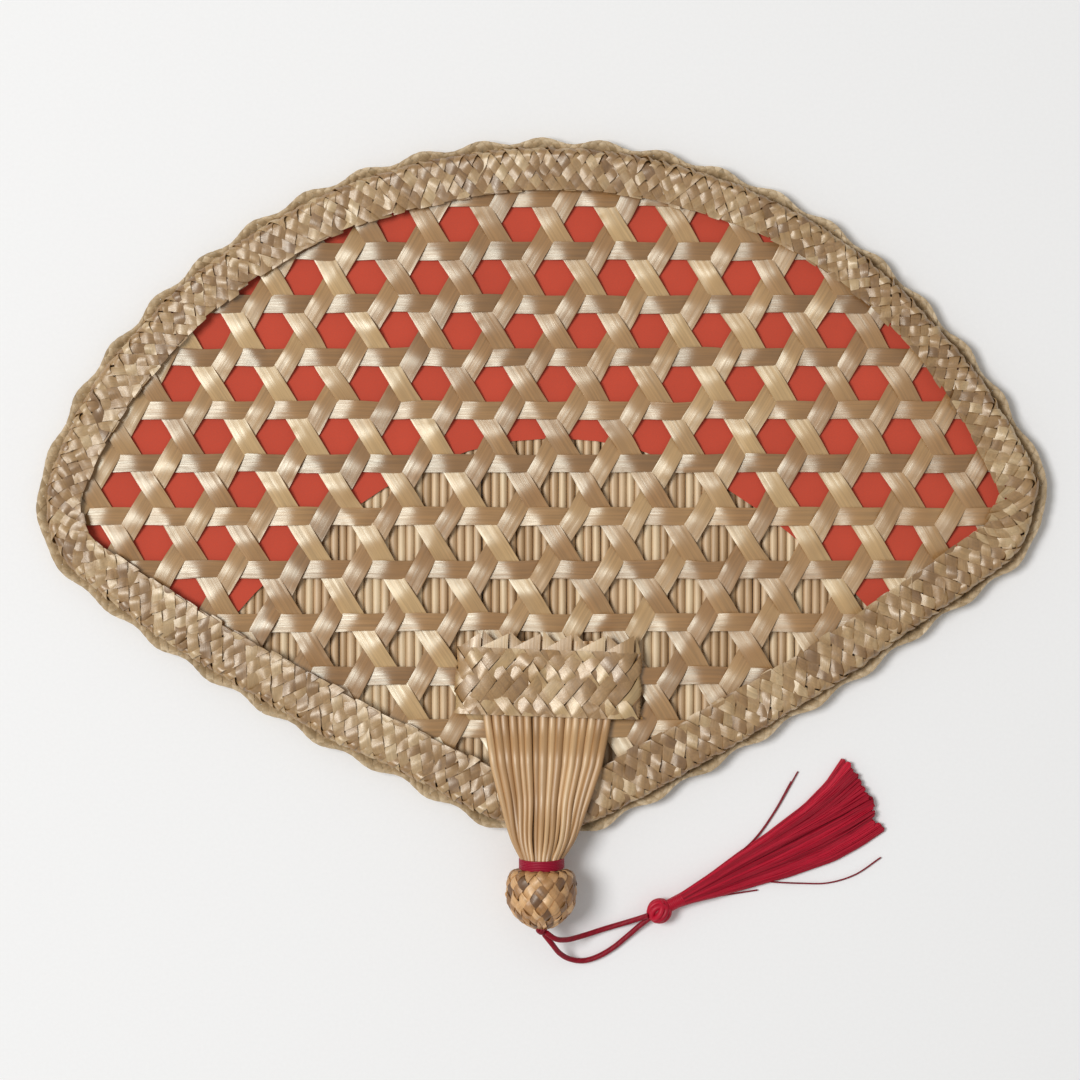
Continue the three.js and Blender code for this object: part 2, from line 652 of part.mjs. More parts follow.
const handleAxis = new THREE.Group();
handleAxis.position.z = knobAxisZ;
fan.add(handleAxis);
const neckRing = threadRing(
  NECK_RADIUS + SEAT_GAP,
  BINDING_THICKNESS,
  bindingBottom,
  BINDING_LENGTH,
  BINDING_TURNS,
);
addPiece(handleAxis, "neck_binding", neckRing, DARK_RED_THREAD);
addPiece(handleAxis, "knob_plait", knobPlait(), PALE_STRAW);
addPiece(handleAxis, "knob_core", knobCore(), STEM_STRAW);

// Cord and tassel
const stopKnotY = knobFoot + KNOB_WALL - STOP_KNOT_RADIUS;
const stopKnot = new THREE.SphereGeometry(STOP_KNOT_RADIUS, KNOT_STEPS, KNOT_STEPS / 2);
addPiece(handleAxis, "cord_stop_knot", stopKnot, RED_SILK).position.y = stopKnotY;

const cord = new THREE.Group();
cord.position.y = stopKnotY;
fan.add(cord);
addPiece(cord, "cord_upper_strand", cordStrand(UPPER_STRAND), RED_SILK);
addPiece(cord, "cord_lower_strand", cordStrand(LOWER_STRAND), RED_SILK);

const tassel = new THREE.Group();
tassel.position.set(TASSEL_KNOT.x, TASSEL_KNOT.y, 0);
tassel.rotation.z = THREE.MathUtils.degToRad(TASSEL_ANGLE);
cord.add(tassel);
addTassel(tassel);

export default fan;
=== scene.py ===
# A woven straw hand fan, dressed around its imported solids.
# Shapes are worked out in millimetres and become metres when a mesh is made.
import json
import math

import bpy
import numpy as np
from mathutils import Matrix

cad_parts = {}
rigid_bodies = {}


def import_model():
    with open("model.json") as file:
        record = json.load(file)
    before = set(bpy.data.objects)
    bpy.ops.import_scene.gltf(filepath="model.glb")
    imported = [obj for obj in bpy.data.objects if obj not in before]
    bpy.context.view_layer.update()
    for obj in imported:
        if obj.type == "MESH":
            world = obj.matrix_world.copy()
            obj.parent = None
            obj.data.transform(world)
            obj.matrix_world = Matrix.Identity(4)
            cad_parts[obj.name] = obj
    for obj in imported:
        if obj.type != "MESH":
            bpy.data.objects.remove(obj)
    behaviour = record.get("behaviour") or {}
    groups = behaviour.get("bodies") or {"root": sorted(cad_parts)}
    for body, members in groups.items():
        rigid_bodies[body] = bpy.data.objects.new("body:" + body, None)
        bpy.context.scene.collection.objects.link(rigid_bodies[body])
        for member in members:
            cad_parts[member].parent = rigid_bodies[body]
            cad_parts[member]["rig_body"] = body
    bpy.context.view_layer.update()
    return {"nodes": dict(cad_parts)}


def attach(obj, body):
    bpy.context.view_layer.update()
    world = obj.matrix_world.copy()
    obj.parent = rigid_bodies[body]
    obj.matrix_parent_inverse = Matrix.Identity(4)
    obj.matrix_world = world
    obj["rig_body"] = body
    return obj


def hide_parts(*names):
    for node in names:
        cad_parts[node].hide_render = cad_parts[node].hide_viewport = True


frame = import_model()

draw = np.random.default_rng(7)

MM = 0.001
UP = (0, 0, 1)
PHOTO_WIDTH = 345.6
PHOTO_CENTRE = (-0.5, -2.9)
CAMERA_HEIGHT = 1.2
SENSOR_WIDTH = 36.0
FACE_LEVEL = 9.0

# Outline of the fan
FAN_WIDTH = 323.0
FACE_HEIGHT = 225.6
FAN_LENGTH = 254.4
SHOULDER_DROP = 119.6
SIDE_CORNER_RADIUS = 30.0
LOWER_SIDE_RADIUS = 1000.0
BOTTOM_ARC_RADIUS = 50.0
RIM_TOP = FAN_LENGTH / 2
RIM_BOTTOM = RIM_TOP - FACE_HEIGHT
KNOB_AXIS_Z = 11.6

# Layers, by the height of their middle
REAR_BRAID_Z = 1.3
MAT_Z = 4.25
WEAVE_Z = 7.45
FRONT_BRAID_Z = 10.0

# Edging braids
FRONT_STRAND_PITCH = 4.5
FRONT_WALK_INSET = 9.0
FRONT_BRAID_INNER = 17.5
FRONT_BRAID_FLAT = 11.2
FRONT_ROLL_RADIUS = 2.4
FRONT_BRAID_WIDTH = 18.6
INNER_EDGE_LIFT = 0.5
INNER_EDGE_REACH = 5
NECK_GAP_HALF_WIDTH = 20
NECK_GAP_TOP = -70
REAR_STRAND_PITCH = 2.9
REAR_WALK_INSET = 8.5
REAR_BRAID_INNER = 17.0
REAR_EDGE_LIFT = 3.6
REAR_LIFT_START = 10.5
REAR_LIFT_REACH = 6
SCALLOP_COUNT = 42
SCALLOP_DEPTH = 2.0

# Weave
HEX_X = -0.0152 * FAN_WIDTH
HEX_Y = RIM_TOP - 0.43 * FACE_HEIGHT
HEX_PITCH = FAN_WIDTH / 16.12
ROW_PITCH = FACE_HEIGHT / 13.26
ROW_LEAN = 0.023 * ROW_PITCH
LEVEL_STRIP_WIDTH = 5.7
SLANTED_STRIP_WIDTH = 6.15
STRIP_THICKNESS = 0.26
STRIP_RISE = 0.66
STRIP_FLUTE = 0.03
STRIP_CROWN = 0.12
STRIP_ROLL = 0.26
STRIP_SWAY = 0.16
STRIP_END_INSET = 8.9

# Stems, neck and sleeve
MAT_STEM_PITCH = 2.7
MAT_STEM_RADIUS = 1.36
MAT_STEM_FLATNESS = 0.8
MAT_END_INSET = 7.2
SHORT_STEM_COUNT = 3
SHORT_STEM_DROP = 0.9
CORE_STEM_COUNT = 14
CORE_TOP = 112
HANDLE_STEM_COUNT = 16
HANDLE_TOP = -35.2
HANDLE_LEAN = 2.2
HANDLE_HALF_WIDTH = 20.8
HANDLE_Z = 10.0
HANDLE_RISE = 2.9
HANDLE_RISE_START = -61.2
HANDLE_RISE_REACH = 12.7
STEMS_FLAT_TO = -62
STEMS_TAPER_FROM = -65
STEMS_END = -110.2
BUNDLE_START = -84
BUNDLE_REACH = 22
NECK_RADIUS = 6.9
THREAD_RADIUS = 0.36
STEPS_PER_TURN = 40
NECK_BINDING_RADIUS = 6.95
NECK_BINDING_FOOT = -107.6
NECK_BINDING_TOP = -104.4
NECK_BINDING_TURNS = 6
NECK_BINDING_SAG = 0.7
SLEEVE_BOTTOM = -59.2
SLEEVE_HEIGHT = 28.0
SLEEVE_TILT = math.radians(-2)

# Cord and tassel, in metres, as the solids have them
STOP_KNOT = (0.0, -0.1271, 0.0116)
TASSEL_KNOT = (0.0379, -0.1221, 0.0037)
TASSEL_ANGLE = math.radians(28)
TASSEL_AHEAD = np.array([math.cos(TASSEL_ANGLE), math.sin(TASSEL_ANGLE), 0])
CORD_DIAMETER = 0.0018
UPPER_STRAND = [
    (0.00156, -0.1282, 0.0127),
    (0.0043, -0.1302, 0.0115),
    (0.0078, -0.1309, 0.0084),
    (0.0132, -0.1301, 0.0038),
    (0.0196, -0.1283, 0.0015),
    (0.0270, -0.1261, 0.0016),
    (0.0316, -0.1245, 0.0034),
    (0.0342, -0.1235, 0.0047),
]
LOWER_STRAND = [
    (0.0008, -0.12885, 0.0105),
    (0.0034, -0.1322, 0.0093),
    (0.0058, -0.1354, 0.0062),
    (0.0090, -0.1376, 0.0030),
    (0.0132, -0.1384, 0.0013),
    (0.0176, -0.1373, 0.0010),
    (0.0228, -0.1344, 0.0010),
    (0.0275, -0.1306, 0.0012),
    (0.0316, -0.1270, 0.0020),
    (0.0347, -0.1246, 0.0026),
]
CORD_PLIES = 6
CORD_LAY = 6.0

# Knots, nearly round about the hinges, so that the cord stays beside them at every angle
TASSEL_KNOT_RADIUS = 4.1
TASSEL_KNOT_CORD = 0.95
TASSEL_KNOT_LONGER = 1.06
TASSEL_KNOT_FLAT = 0.87
STOP_KNOT_RADIUS = 1.92
STOP_KNOT_CORD = 0.5

# Light and floor
ROOM_COLOUR = (1.0, 0.99, 0.97, 1.0)
ROOM_STRENGTH = 0.41
LAMP_PLACE = (-1.35, 0.2, 2.4)
LAMP_SIZE = 1.15
LAMP_POWER = 49.0
FLOOR_REACH = 2.0
FLOOR_DROP = 0.0002


# Meshes

def smooth(t):
    t = np.clip(t, 0.0, 1.0)
    return t * t * (3 - 2 * t)


def curve(at, places, values):
    """A smooth curve through values that stand at even places."""
    step = places[1] - places[0]
    k = np.clip(((at - places[0]) / step).astype(int), 0, len(places) - 2)
    t = (at - places[0]) / step - k
    values = np.asarray(values, float)
    slope = np.gradient(values, axis=-1)
    ends = (2 * t**3 - 3 * t**2 + 1) * values[..., k] + (3 * t**2 - 2 * t**3) * values[..., k + 1]
    return ends + (t**3 - 2 * t**2 + t) * slope[..., k] + (t**3 - t**2) * slope[..., k + 1]


def eased(at, places, values):
    """Values that stand at uneven places, joined by smooth steps."""
    places, values = np.asarray(places, float), np.asarray(values, float)
    k = np.clip(np.searchsorted(places, at, side="right") - 1, 0, len(places) - 2)
    return values[k] + (values[k + 1] - values[k]) * smooth((at - places[k]) / (places[k + 1] - places[k]))


def catmull_rom(points, steps):
    """A centripetal curve through points, as the solids have it."""
    p = np.array(points, float)
    p = np.concatenate([[2 * p[0] - p[1]], p, [2 * p[-1] - p[-2]]])
    knots = np.concatenate([[0], np.cumsum(np.sqrt(np.linalg.norm(np.diff(p, axis=0), axis=1)))])
    out = []
    for i in range(1, len(p) - 2):
        t = np.linspace(knots[i], knots[i + 1], steps, endpoint=False)[:, None]
        k = knots[i - 1:i + 3]
        a = [((k[j + 1] - t) * p[i - 1 + j] + (t - k[j]) * p[i + j]) / (k[j + 1] - k[j]) for j in range(3)]
        b = [((k[j + 2] - t) * a[j] + (t - k[j]) * a[j + 1]) / (k[j + 2] - k[j]) for j in range(2)]
        out.append(((k[2] - t) * b[0] + (t - k[1]) * b[1]) / (k[2] - k[1]))
    return np.concatenate([*out, p[-2:-1]])


def unit(vectors):
    return vectors / np.linalg.norm(vectors, axis=-1, keepdims=True)


def across_path(path, reference):
    """Unit vectors to the side of a path and up from it. Reference is a direction that no path follows."""
    ahead = unit(np.gradient(path, axis=-2))
    side = unit(np.cross(ahead, np.asarray(reference, float)))
    return side, np.cross(side, ahead)


def run_along(path):
    """Distance along a path at each of its points."""
    return np.concatenate([[0], np.cumsum(np.linalg.norm(np.diff(path, axis=0), axis=1))])


class Patches:
    """Slabs and tubes that become one mesh. Each point knows how far along and across its straw it is, and
    which way across it lies."""

    def __init__(self):
        self.points, self.fibres, self.across, self.faces = [], [], [], []
        self.count = 0

    def _keep(self, points, fibres, across, faces):
        self.points.append(points.reshape(-1, 3))
        self.fibres.append(fibres.reshape(-1, 3))
        self.across.append(unit(across).reshape(-1, 3))
        self.faces.extend((faces + self.count).tolist())

    def slabs(self, upper, lower, fibre):
        """Closed slabs between upper and lower grids, each shaped (slab, row, column, 3)."""
        n, rows, columns = upper.shape[:3]
        grid = np.arange(rows * columns).reshape(rows, columns)
        top = np.stack([grid[:-1, :-1], grid[:-1, 1:], grid[1:, 1:], grid[1:, :-1]], -1).reshape(-1, 4)
        base = top[:, ::-1] + rows * columns
        rim = np.concatenate([grid[0, :-1], grid[:-1, -1], grid[-1, :0:-1], grid[:0:-1, 0]])
        under = rim + rows * columns
        wall = np.stack([np.roll(rim, -1), rim, under, np.roll(under, -1)], -1)
        one = np.concatenate([top, base, wall])
        i, j = rows // 2, columns // 2
        along = upper[:, i, j] - upper[:, i - 1, j]
        across = upper[:, i, j] - upper[:, i, j - 1]
        facing = np.einsum("ni,ni->n", np.cross(across, along), upper[:, i, j] - lower[:, i, j])
        points = np.stack([upper, lower], 1)
        fibres = np.stack([fibre, fibre], 1)
        size = 2 * rows * columns
        faces = one[None] + (np.arange(n) * size)[:, None, None]
        faces[facing < 0] = faces[facing < 0][..., ::-1]
        self._keep(points, fibres, np.gradient(points, axis=3), faces.reshape(-1, 4))
        self.count += n * size

    def tubes(self, paths, radii, sides, reference, tones, flatten=1.0):
        """Capped tubes along paths shaped (tube, ring, 3)."""
        n, rings = paths.shape[:2]
        side, up = across_path(paths, reference)
        angle = 2 * np.pi * np.arange(sides) / sides
        ring = side[:, :, None] * np.cos(angle)[:, None] + up[:, :, None] * np.sin(angle)[:, None] * flatten
        points = paths[:, :, None] + ring * radii[:, :, None, None]
        steps = np.linalg.norm(np.diff(paths, axis=1), axis=2)
        along = np.concatenate([np.zeros((n, 1)), np.cumsum(steps, axis=1)], axis=1)
        fibre = np.empty((n, rings, sides, 3))
        fibre[..., 0] = along[:, :, None]
        fibre[..., 1] = angle * radii.mean()
        fibre[..., 2] = np.asarray(tones)[:, None, None]
        first = np.arange(rings * sides).reshape(rings, sides)
        after = np.roll(first, -1, axis=1)
        wall = np.stack([first[:-1], first[1:], after[1:], after[:-1]], -1).reshape(-1, 4)
        starts = self.count + np.arange(n) * rings * sides
        around = up[:, :, None] * np.cos(angle)[:, None] - side[:, :, None] * np.sin(angle)[:, None]
        walls = wall[None] + (np.arange(n) * rings * sides)[:, None, None]
        self._keep(points, fibre, around, walls.reshape(-1, 4))
        for start in starts.tolist():
            self.faces.append((first[0] + start).tolist())
            self.faces.append((first[-1, ::-1] + start).tolist())
        self.count += n * rings * sides

    def thread(self, path, radius, sides, reference, tone):
        """One tube of an even thickness."""
        self.tubes(path[None], np.full((1, len(path)), radius), sides, reference, [tone])


def add_object(name, data):
    added = bpy.data.objects.new(name, data)
    bpy.context.scene.collection.objects.link(added)
    return added


def make_piece(name, patches, look, nodes, sharp=50):
    """A piece that stands for CAD nodes and rides on their body."""
    mesh = bpy.data.meshes.new(name)
    mesh.from_pydata((np.concatenate(patches.points) * MM).tolist(), [], patches.faces)
    for key, vectors in (("fibre", patches.fibres), ("across", patches.across)):
        attribute = mesh.attributes.new(key, "FLOAT_VECTOR", "POINT")
        attribute.data.foreach_set("vector", np.concatenate(vectors).astype(np.float32).ravel())
    mesh.polygons.foreach_set("use_smooth", [True] * len(mesh.polygons))
    mesh.set_sharp_from_angle(angle=math.radians(sharp))
    mesh.materials.append(look)
    mesh.validate()
    piece = add_object(name, mesh)
    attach(piece, frame["nodes"][nodes[0]]["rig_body"])
    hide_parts(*nodes)
    return piece


# Materials

def linear(code):
    """A colour written as six hex digits, in the linear values that sockets take."""
    values = [int(code[i:i + 2], 16) / 255 for i in (0, 2, 4)]
    return [c / 12.92 if c <= 0.04045 else ((c + 0.055) / 1.055) ** 2.4 for c in values] + [1.0]


class Nodes:
    """Adds nodes to a new material. An input is a value or another node's output."""

    def __init__(self, name):
        self.look = bpy.data.materials.new(name)
        self.look.use_nodes = True
        self.tree = self.look.node_tree
        self.tree.nodes.clear()
        self.shader = self.add("ShaderNodeBsdfPrincipled")
        output = self.add("ShaderNodeOutputMaterial")
        self.tree.links.new(self.shader.outputs[0], output.inputs[0])

    def add(self, kind, inputs=None, **settings):
        node = self.tree.nodes.new(kind)
        for key, value in settings.items():
            setattr(node, key, value)
        for key, value in (inputs or {}).items():
            self.set(node.inputs[key], value)
        return node

    def set(self, socket, value):
        if isinstance(value, bpy.types.NodeSocket):
            self.tree.links.new(value, socket)
        else:
            socket.default_value = value

    def finish(self, **inputs):
        for key, value in inputs.items():
            self.set(self.shader.inputs[key.replace("_", " ")], value)
        return self.look

    def attribute(self, name):
        return self.add("ShaderNodeAttribute", attribute_name=name).outputs["Vector"]

    def tone(self, fibre):
        return self.add("ShaderNodeSeparateXYZ", {0: fibre}).outputs[2]

    def grain(self, vector, scale, detail=2.0):
        """Noise over a stretched copy of a vector."""
        stretched = self.add("ShaderNodeVectorMath", {0: vector, 1: scale}, operation="MULTIPLY").outputs[0]
        inputs = {"Vector": stretched, "Scale": 1.0, "Detail": detail}
        return self.add("ShaderNodeTexNoise", inputs).outputs[0]

    def between(self, value, low, high, start=0.3, end=0.7):
        inputs = {"Value": value, "From Min": start, "From Max": end, "To Min": low, "To Max": high}
        return self.add("ShaderNodeMapRange", inputs).outputs[0]

    def ramp(self, value, stops):
        node = self.add("ShaderNodeValToRGB", {0: value})
        while len(node.color_ramp.elements) < len(stops):
            node.color_ramp.elements.new(0.5)
        for element, (place, code) in zip(node.color_ramp.elements, stops):
            element.position = place
            element.color = linear(code)
        return node.outputs[0]

    def math(self, operation, a, b):
        return self.add("ShaderNodeMath", {0: a, 1: b}, operation=operation).outputs[0]

    def shade(self, colour, amount):
        """A colour made lighter or darker by a grey amount."""
        return self.add("ShaderNodeVectorMath", {0: colour, "Scale": amount}, operation="SCALE").outputs[0]

    def bump(self, height, strength, distance):
        inputs = {"Height": height, "Strength": strength, "Distance": distance}
        return self.add("ShaderNodeBump", inputs).outputs[0]


def straw(name, stops, gloss, streak=0.2, stretch=0.6, shine=1.5, sheen="fffbf0"):
    """Straw with long fibres, a waxy sheen stretched across them and a tone of its own for each length."""
    nodes = Nodes(name)
    fibre = nodes.attribute("fibre")
    drift = nodes.between(nodes.grain(fibre, (0.06, 0.0, 17.0)), -0.16, 0.16)
    colour = nodes.ramp(nodes.math("ADD", nodes.tone(fibre), drift), stops)
    lines = nodes.grain(fibre, (0.035, 1.7, 37.0), 4.0)
    streaks = nodes.between(lines, 1 - streak, 1 + streak / 2)
    threads = nodes.grain(fibre, (0.09, 7.0, 91.0), 3.0)
    fine = nodes.between(threads, 0.93, 1.05)
    return nodes.finish(
        Base_Color=nodes.shade(nodes.shade(colour, streaks), fine),
        Roughness=nodes.between(threads, gloss - 0.07, gloss + 0.09),
        Normal=nodes.bump(nodes.math("ADD", lines, threads), 0.3, 0.00012),
        Tangent=nodes.attribute("across"),
        Anisotropic=stretch,
        IOR=shine,
        Specular_IOR_Level=1.0,
        Specular_Tint=linear(sheen),
    )


def card_paper():
    nodes = Nodes("red_card_paper")
    place = nodes.add("ShaderNodeTexCoord").outputs["Object"]
    clouds = nodes.between(nodes.grain(place, (60.0,) * 3, 3.0), 0.95, 1.05)
    fibres = nodes.grain(place, (2500.0,) * 3, 4.0)
    speckle = nodes.between(fibres, 0.95, 1.05)
    base = nodes.ramp(clouds, [(0.0, "c14530"), (1.0, "c34832")])
    return nodes.finish(
        Base_Color=nodes.shade(nodes.shade(base, clouds), speckle),
        Roughness=nodes.between(fibres, 0.72, 0.86),
        Normal=nodes.bump(fibres, 0.15, 0.0001),
        Specular_IOR_Level=0.35,
    )


def silk(name, stops, gloss=0.4):
    nodes = Nodes(name)
    fibre = nodes.attribute("fibre")
    colour = nodes.ramp(nodes.tone(fibre), stops)
    strands = nodes.grain(fibre, (0.25, 9.0, 53.0))
    return nodes.finish(
        Base_Color=nodes.shade(colour, nodes.between(strands, 0.8, 1.12)),
        Roughness=nodes.between(strands, gloss - 0.05, gloss + 0.1),
        Normal=nodes.bump(strands, 0.3, 0.0001),
        Specular_IOR_Level=0.3,
    )


WEAVE_STRAW = straw(
    "weave_straw",
    [(0.0, "865c31"), (0.35, "a17240"), (0.65, "b08451"), (1.0, "caa46f")],
    0.37, shine=1.72, sheen="f8fdf0",
)
BRAID_STRAW = straw(
    "braid_straw",
    [(0.0, "825e38"), (0.35, "9e784b"), (0.65, "ad8a5c"), (1.0, "c8ab80")],
    0.4, stretch=0.4, shine=1.64,
)
SLEEVE_STRAW = straw(
    "sleeve_straw",
    [(0.0, "805a32"), (0.35, "9b7342"), (0.65, "a98251"), (1.0, "c4a472")],
    0.38, stretch=0.4, shine=1.72, sheen="fff8ea",
)
REAR_STRAW = straw(
    "rear_braid_straw",
    [(0.0, "a08762"), (0.5, "bca27c"), (1.0, "d5be9a")],
    0.55, stretch=0.4,
)
STEM_STRAW = straw(
    "stem_straw",
    [(0.0, "ac8759"), (0.5, "c9a57a"), (1.0, "e1c69d")],
    0.46, streak=0.14,
)
HANDLE_STRAW = straw(
    "handle_straw",
    [(0.0, "a07544"), (0.5, "bb8e5a"), (1.0, "d2aa78")],
    0.43, shine=1.58,
)
KNOB_STRAW = straw(
    "knob_straw",
    [(0.0, "6c4828"), (0.5, "b07e4a"), (1.0, "dcae79")],
    0.42, stretch=0.4,
)
CARD_RED = card_paper()
SILK_RED = silk("red_silk", [(0.0, "78061a"), (0.5, "a40c28"), (1.0, "c81634")])
THREAD_RED = silk("red_thread", [(0.0, "8c0a2a"), (1.0, "aa1034")], 0.45)


# The rim

# How the hand-made rim strays from its arcs. Each line has a place along the rim, how far the outer edge
# draws in there, and how far in the front braid's inner edge is.
RIM_ROUND = 775
RIM_STRAY = np.array([
    (0, -2.6, 14.8),
    (25, -1.2, 15.0),
    (60, 0.3, 14.8),
    (100, 0.3, 15.2),
    (150, 0.6, 17.2),
    (230, 1.0, 18.8),
    (290, 0.3, 17.0),
    (330, -1.0, 15.6),
    (356, -2.4, 14.6),
    (378, -1.8, 14.0),
    (402, -0.6, 14.6),
    (448, -2.8, 15.2),
    (510, -2.0, 16.8),
    (535, 0.0, 18.0),
    (566, 0.0, 18.4),
    (600, -1.2, 17.4),
    (680, -0.3, 17.8),
    (720, 1.4, 19.2),
    (748, 1.6, 19.6),
    (764, 0.6, 17.6),
    (RIM_ROUND, -2.6, 14.8),
])
# Where the scallops are shallower: the middle of the place, its reach and the share that is lost
FLAT_PLACES = [(400, 30, 0.6), (769, 16, 0.8)]


class Rim:
    """The fan's edge, a chain of arcs walked counter-clockwise. Distance along it is measured at
    walk_inset."""

    def __init__(self, walk_inset):
        corner_x = FAN_WIDTH / 2 - SIDE_CORNER_RADIUS
        corner_y = RIM_TOP - SHOULDER_DROP
        below = SHOULDER_DROP - SIDE_CORNER_RADIUS
        top_radius = (corner_x**2 + SHOULDER_DROP**2 - SIDE_CORNER_RADIUS**2) / (2 * below)
        top_y = RIM_TOP - top_radius
        shoulder = math.atan2(corner_y - top_y, corner_x)
        bottom_y = RIM_BOTTOM + BOTTOM_ARC_RADIUS
        corner_reach = LOWER_SIDE_RADIUS - SIDE_CORNER_RADIUS
        bottom_reach = LOWER_SIDE_RADIUS - BOTTOM_ARC_RADIUS
        span = math.hypot(corner_x, corner_y - bottom_y)
        turn = math.acos((corner_reach**2 + span**2 - bottom_reach**2) / (2 * corner_reach * span))
        to_centre = math.atan2(bottom_y - corner_y, -corner_x) - turn
        side_x = corner_x + corner_reach * math.cos(to_centre)
        side_y = corner_y + corner_reach * math.sin(to_centre)
        start = math.atan2(bottom_y - side_y, -side_x)
        end = math.atan2(corner_y - side_y, corner_x - side_x)
        arcs = np.array([
            (0, top_y, top_radius, shoulder, math.pi - shoulder),
            (-corner_x, corner_y, SIDE_CORNER_RADIUS, math.pi - shoulder, math.pi - end),
            (-side_x, side_y, LOWER_SIDE_RADIUS, math.pi - end, math.pi - start),
            (0, bottom_y, BOTTOM_ARC_RADIUS, -math.pi - start, start),
            (side_x, side_y, LOWER_SIDE_RADIUS, start, end),
            (corner_x, corner_y, SIDE_CORNER_RADIUS, end, shoulder),
        ])
        self.x, self.y, self.radius, self.start, self.end = arcs.T
        self.turns = self.end - self.start
        self.lengths = (self.radius - walk_inset) * self.turns
        self.starts = np.concatenate([[0], np.cumsum(self.lengths)[:-1]])
        self.length = self.lengths.sum()

    def _at(self, along):
        along = np.mod(along, self.length)
        k = np.searchsorted(self.starts, along, side="right") - 1
        share = (along - self.starts[k]) / self.lengths[k]
        return k, share

    def place(self, along, inset):
        k, share = self._at(along)
        angle = self.start[k] + self.turns[k] * share
        reach = self.radius[k] - inset
        return self.x[k] + reach * np.cos(angle), self.y[k] + reach * np.sin(angle)

    def scallop(self, along):
        """How far the wavy edge draws in, with a crest at the middle of the top."""
        k, share = self._at(along)
        outer = self.radius * self.turns
        outer_along = np.concatenate([[0], np.cumsum(outer)[:-1]])[k] + outer[k] * share
        phase = 2 * np.pi * SCALLOP_COUNT * (outer_along - outer[0] / 2) / outer.sum()
        around = np.mod(along, self.length) / self.length * RIM_ROUND
        depth = SCALLOP_DEPTH
        for middle, reach, lost in FLAT_PLACES:
            away = np.mod(around - middle + RIM_ROUND / 2, RIM_ROUND) - RIM_ROUND / 2
            depth = depth * (1 - lost * np.exp(-(away / reach) ** 2))
        return depth * (1 - np.cos(phase)) / 2

    def stray(self, along):
        """How far the outer edge draws in, and how far in the front braid's inner edge is."""
        around = np.mod(along, self.length) / self.length * RIM_ROUND
        places, outer, inner = RIM_STRAY.T
        return eased(around, places, outer), eased(around, places, inner)

    def inset_of(self, x, y):
        """How far inside the edge points are. The edge bulges everywhere, so its nearest tangent says."""
        along = np.linspace(0, self.length, 900, endpoint=False)
        k, share = self._at(along)
        angle = self.start[k] + self.turns[k] * share
        reach = self.x[k] * np.cos(angle) + self.y[k] * np.sin(angle) + self.radius[k]
        return (reach - np.multiply.outer(x, np.cos(angle)) - np.multiply.outer(y, np.sin(angle))).min(-1)


RIM = Rim(0.0)


# Plaits

ROWS_PER_COLUMN = 8
STRAND_COLUMNS = 7


def plait_level(over):
    """Heights of the forward strands at every half column. They arch while on top and dip while under, out
    to the folds at the band's edges."""
    crossings = np.array(over, float)
    level = np.zeros(2 * len(over) + 3)
    level[2:-2:2] = 0.85 * crossings
    level[3:-3:2] = 0.55 * (crossings[:-1] + crossings[1:])
    level[[0, 1]] = np.array([-0.5, 0.15]) * crossings[0]
    level[[-1, -2]] = np.array([-0.5, 0.15]) * crossings[-1]
    return np.tanh(1.5 * level)


def plait(
    patches, place, count, pitch, width, over,
    rise=0.5, crown=0.1, tilt=0.3, cover=0.95, thickness=0.3, tone=(0.22, 0.12), bulge=0.16, opening=None,
    facing=(0.0, 0.0), crest=(0.0, 0.0), ragged=0.0,
):
    """A flat plait of strands that slant across a band, fold back at its edges and pass over or under each
    other. over says, column by column, whether the strands that lean forward are on top. place puts (along,
    across, height) on the band's surface. tone is how much the strands differ, and the lengths of one
    strand that show. opening is where the strands that lean back draw apart, and how far. facing is how
    much the strands that lean forward, and those that lean back, turn to one side. crest is how far they
    reach their height before they cross, in columns. ragged is how unevenly they fold back."""
    columns = len(over) + 1
    column = width / columns
    slant = math.atan2(2 * column, pitch)
    across = np.linspace(0, width, columns * ROWS_PER_COLUMN + 1)
    side = np.linspace(-1, 1, STRAND_COLUMNS)
    from_edge = np.minimum(across, width - across) / column
    tip = np.sign(across - width / 2) * np.clip(1 - from_edge, 0, 1) ** 2
    halves = np.linspace(0, columns, 2 * columns + 1)
    wholes = np.arange(columns + 1)

    def loose(spread, middle=0.0):
        return draw.normal(middle, spread, (count, columns + 1))

    for lean in (1, -1):
        half = np.full_like(across, cover * pitch * math.sin(slant) / 2)
        if opening and lean < 0:
            half = half * (1 - opening[1] * np.exp(-((across - opening[0]) / 2.0) ** 2))
        beside = side * half[:, None] / math.sin(slant)
        # Which of the strands it meets a point is at. Their edges, not the band's, bound what shows.
        meets = np.clip(across[:, None] / column + lean * beside / pitch, 0, columns)
        which = 0 if lean > 0 else 1
        twist = curve(meets, wholes, loose(tilt, facing[which]))
        lift = curve(meets, wholes, loose(0.4 * tilt))
        drift = curve(across, wholes * column, loose(0.035 * pitch))
        spread = 1 + draw.normal(0, 0.05, (count, 1, 1))
        v = across[:, None] + bulge * column * tip[:, None] * (1 - side**2)
        v = v + draw.normal(0, ragged, (count, 1, 1)) * tip[:, None]
        u = np.arange(count)[:, None, None] * pitch + drift[:, :, None]
        u = u + lean * (across / math.tan(slant))[:, None] + beside * spread
        level = curve(np.clip(meets + crest[which], 0, columns), halves, plait_level(over))
        h = lean * rise * level + crown * (1 - side**2) + twist * side + lift
        fibre = np.empty((*u.shape, 3))
        fibre[..., 0] = (across / math.sin(slant))[:, None] + 300 * draw.random((count, 1, 1))
        fibre[..., 1] = side * half[:, None]
        own_tone = draw.normal(0.5, tone[0], (count, 1, 1))
        fibre[..., 2] = np.clip(own_tone + curve(meets, wholes, loose(tone[1])), 0, 1)
        patches.slabs(place(u, v, h), place(u, v, h - thickness), fibre)


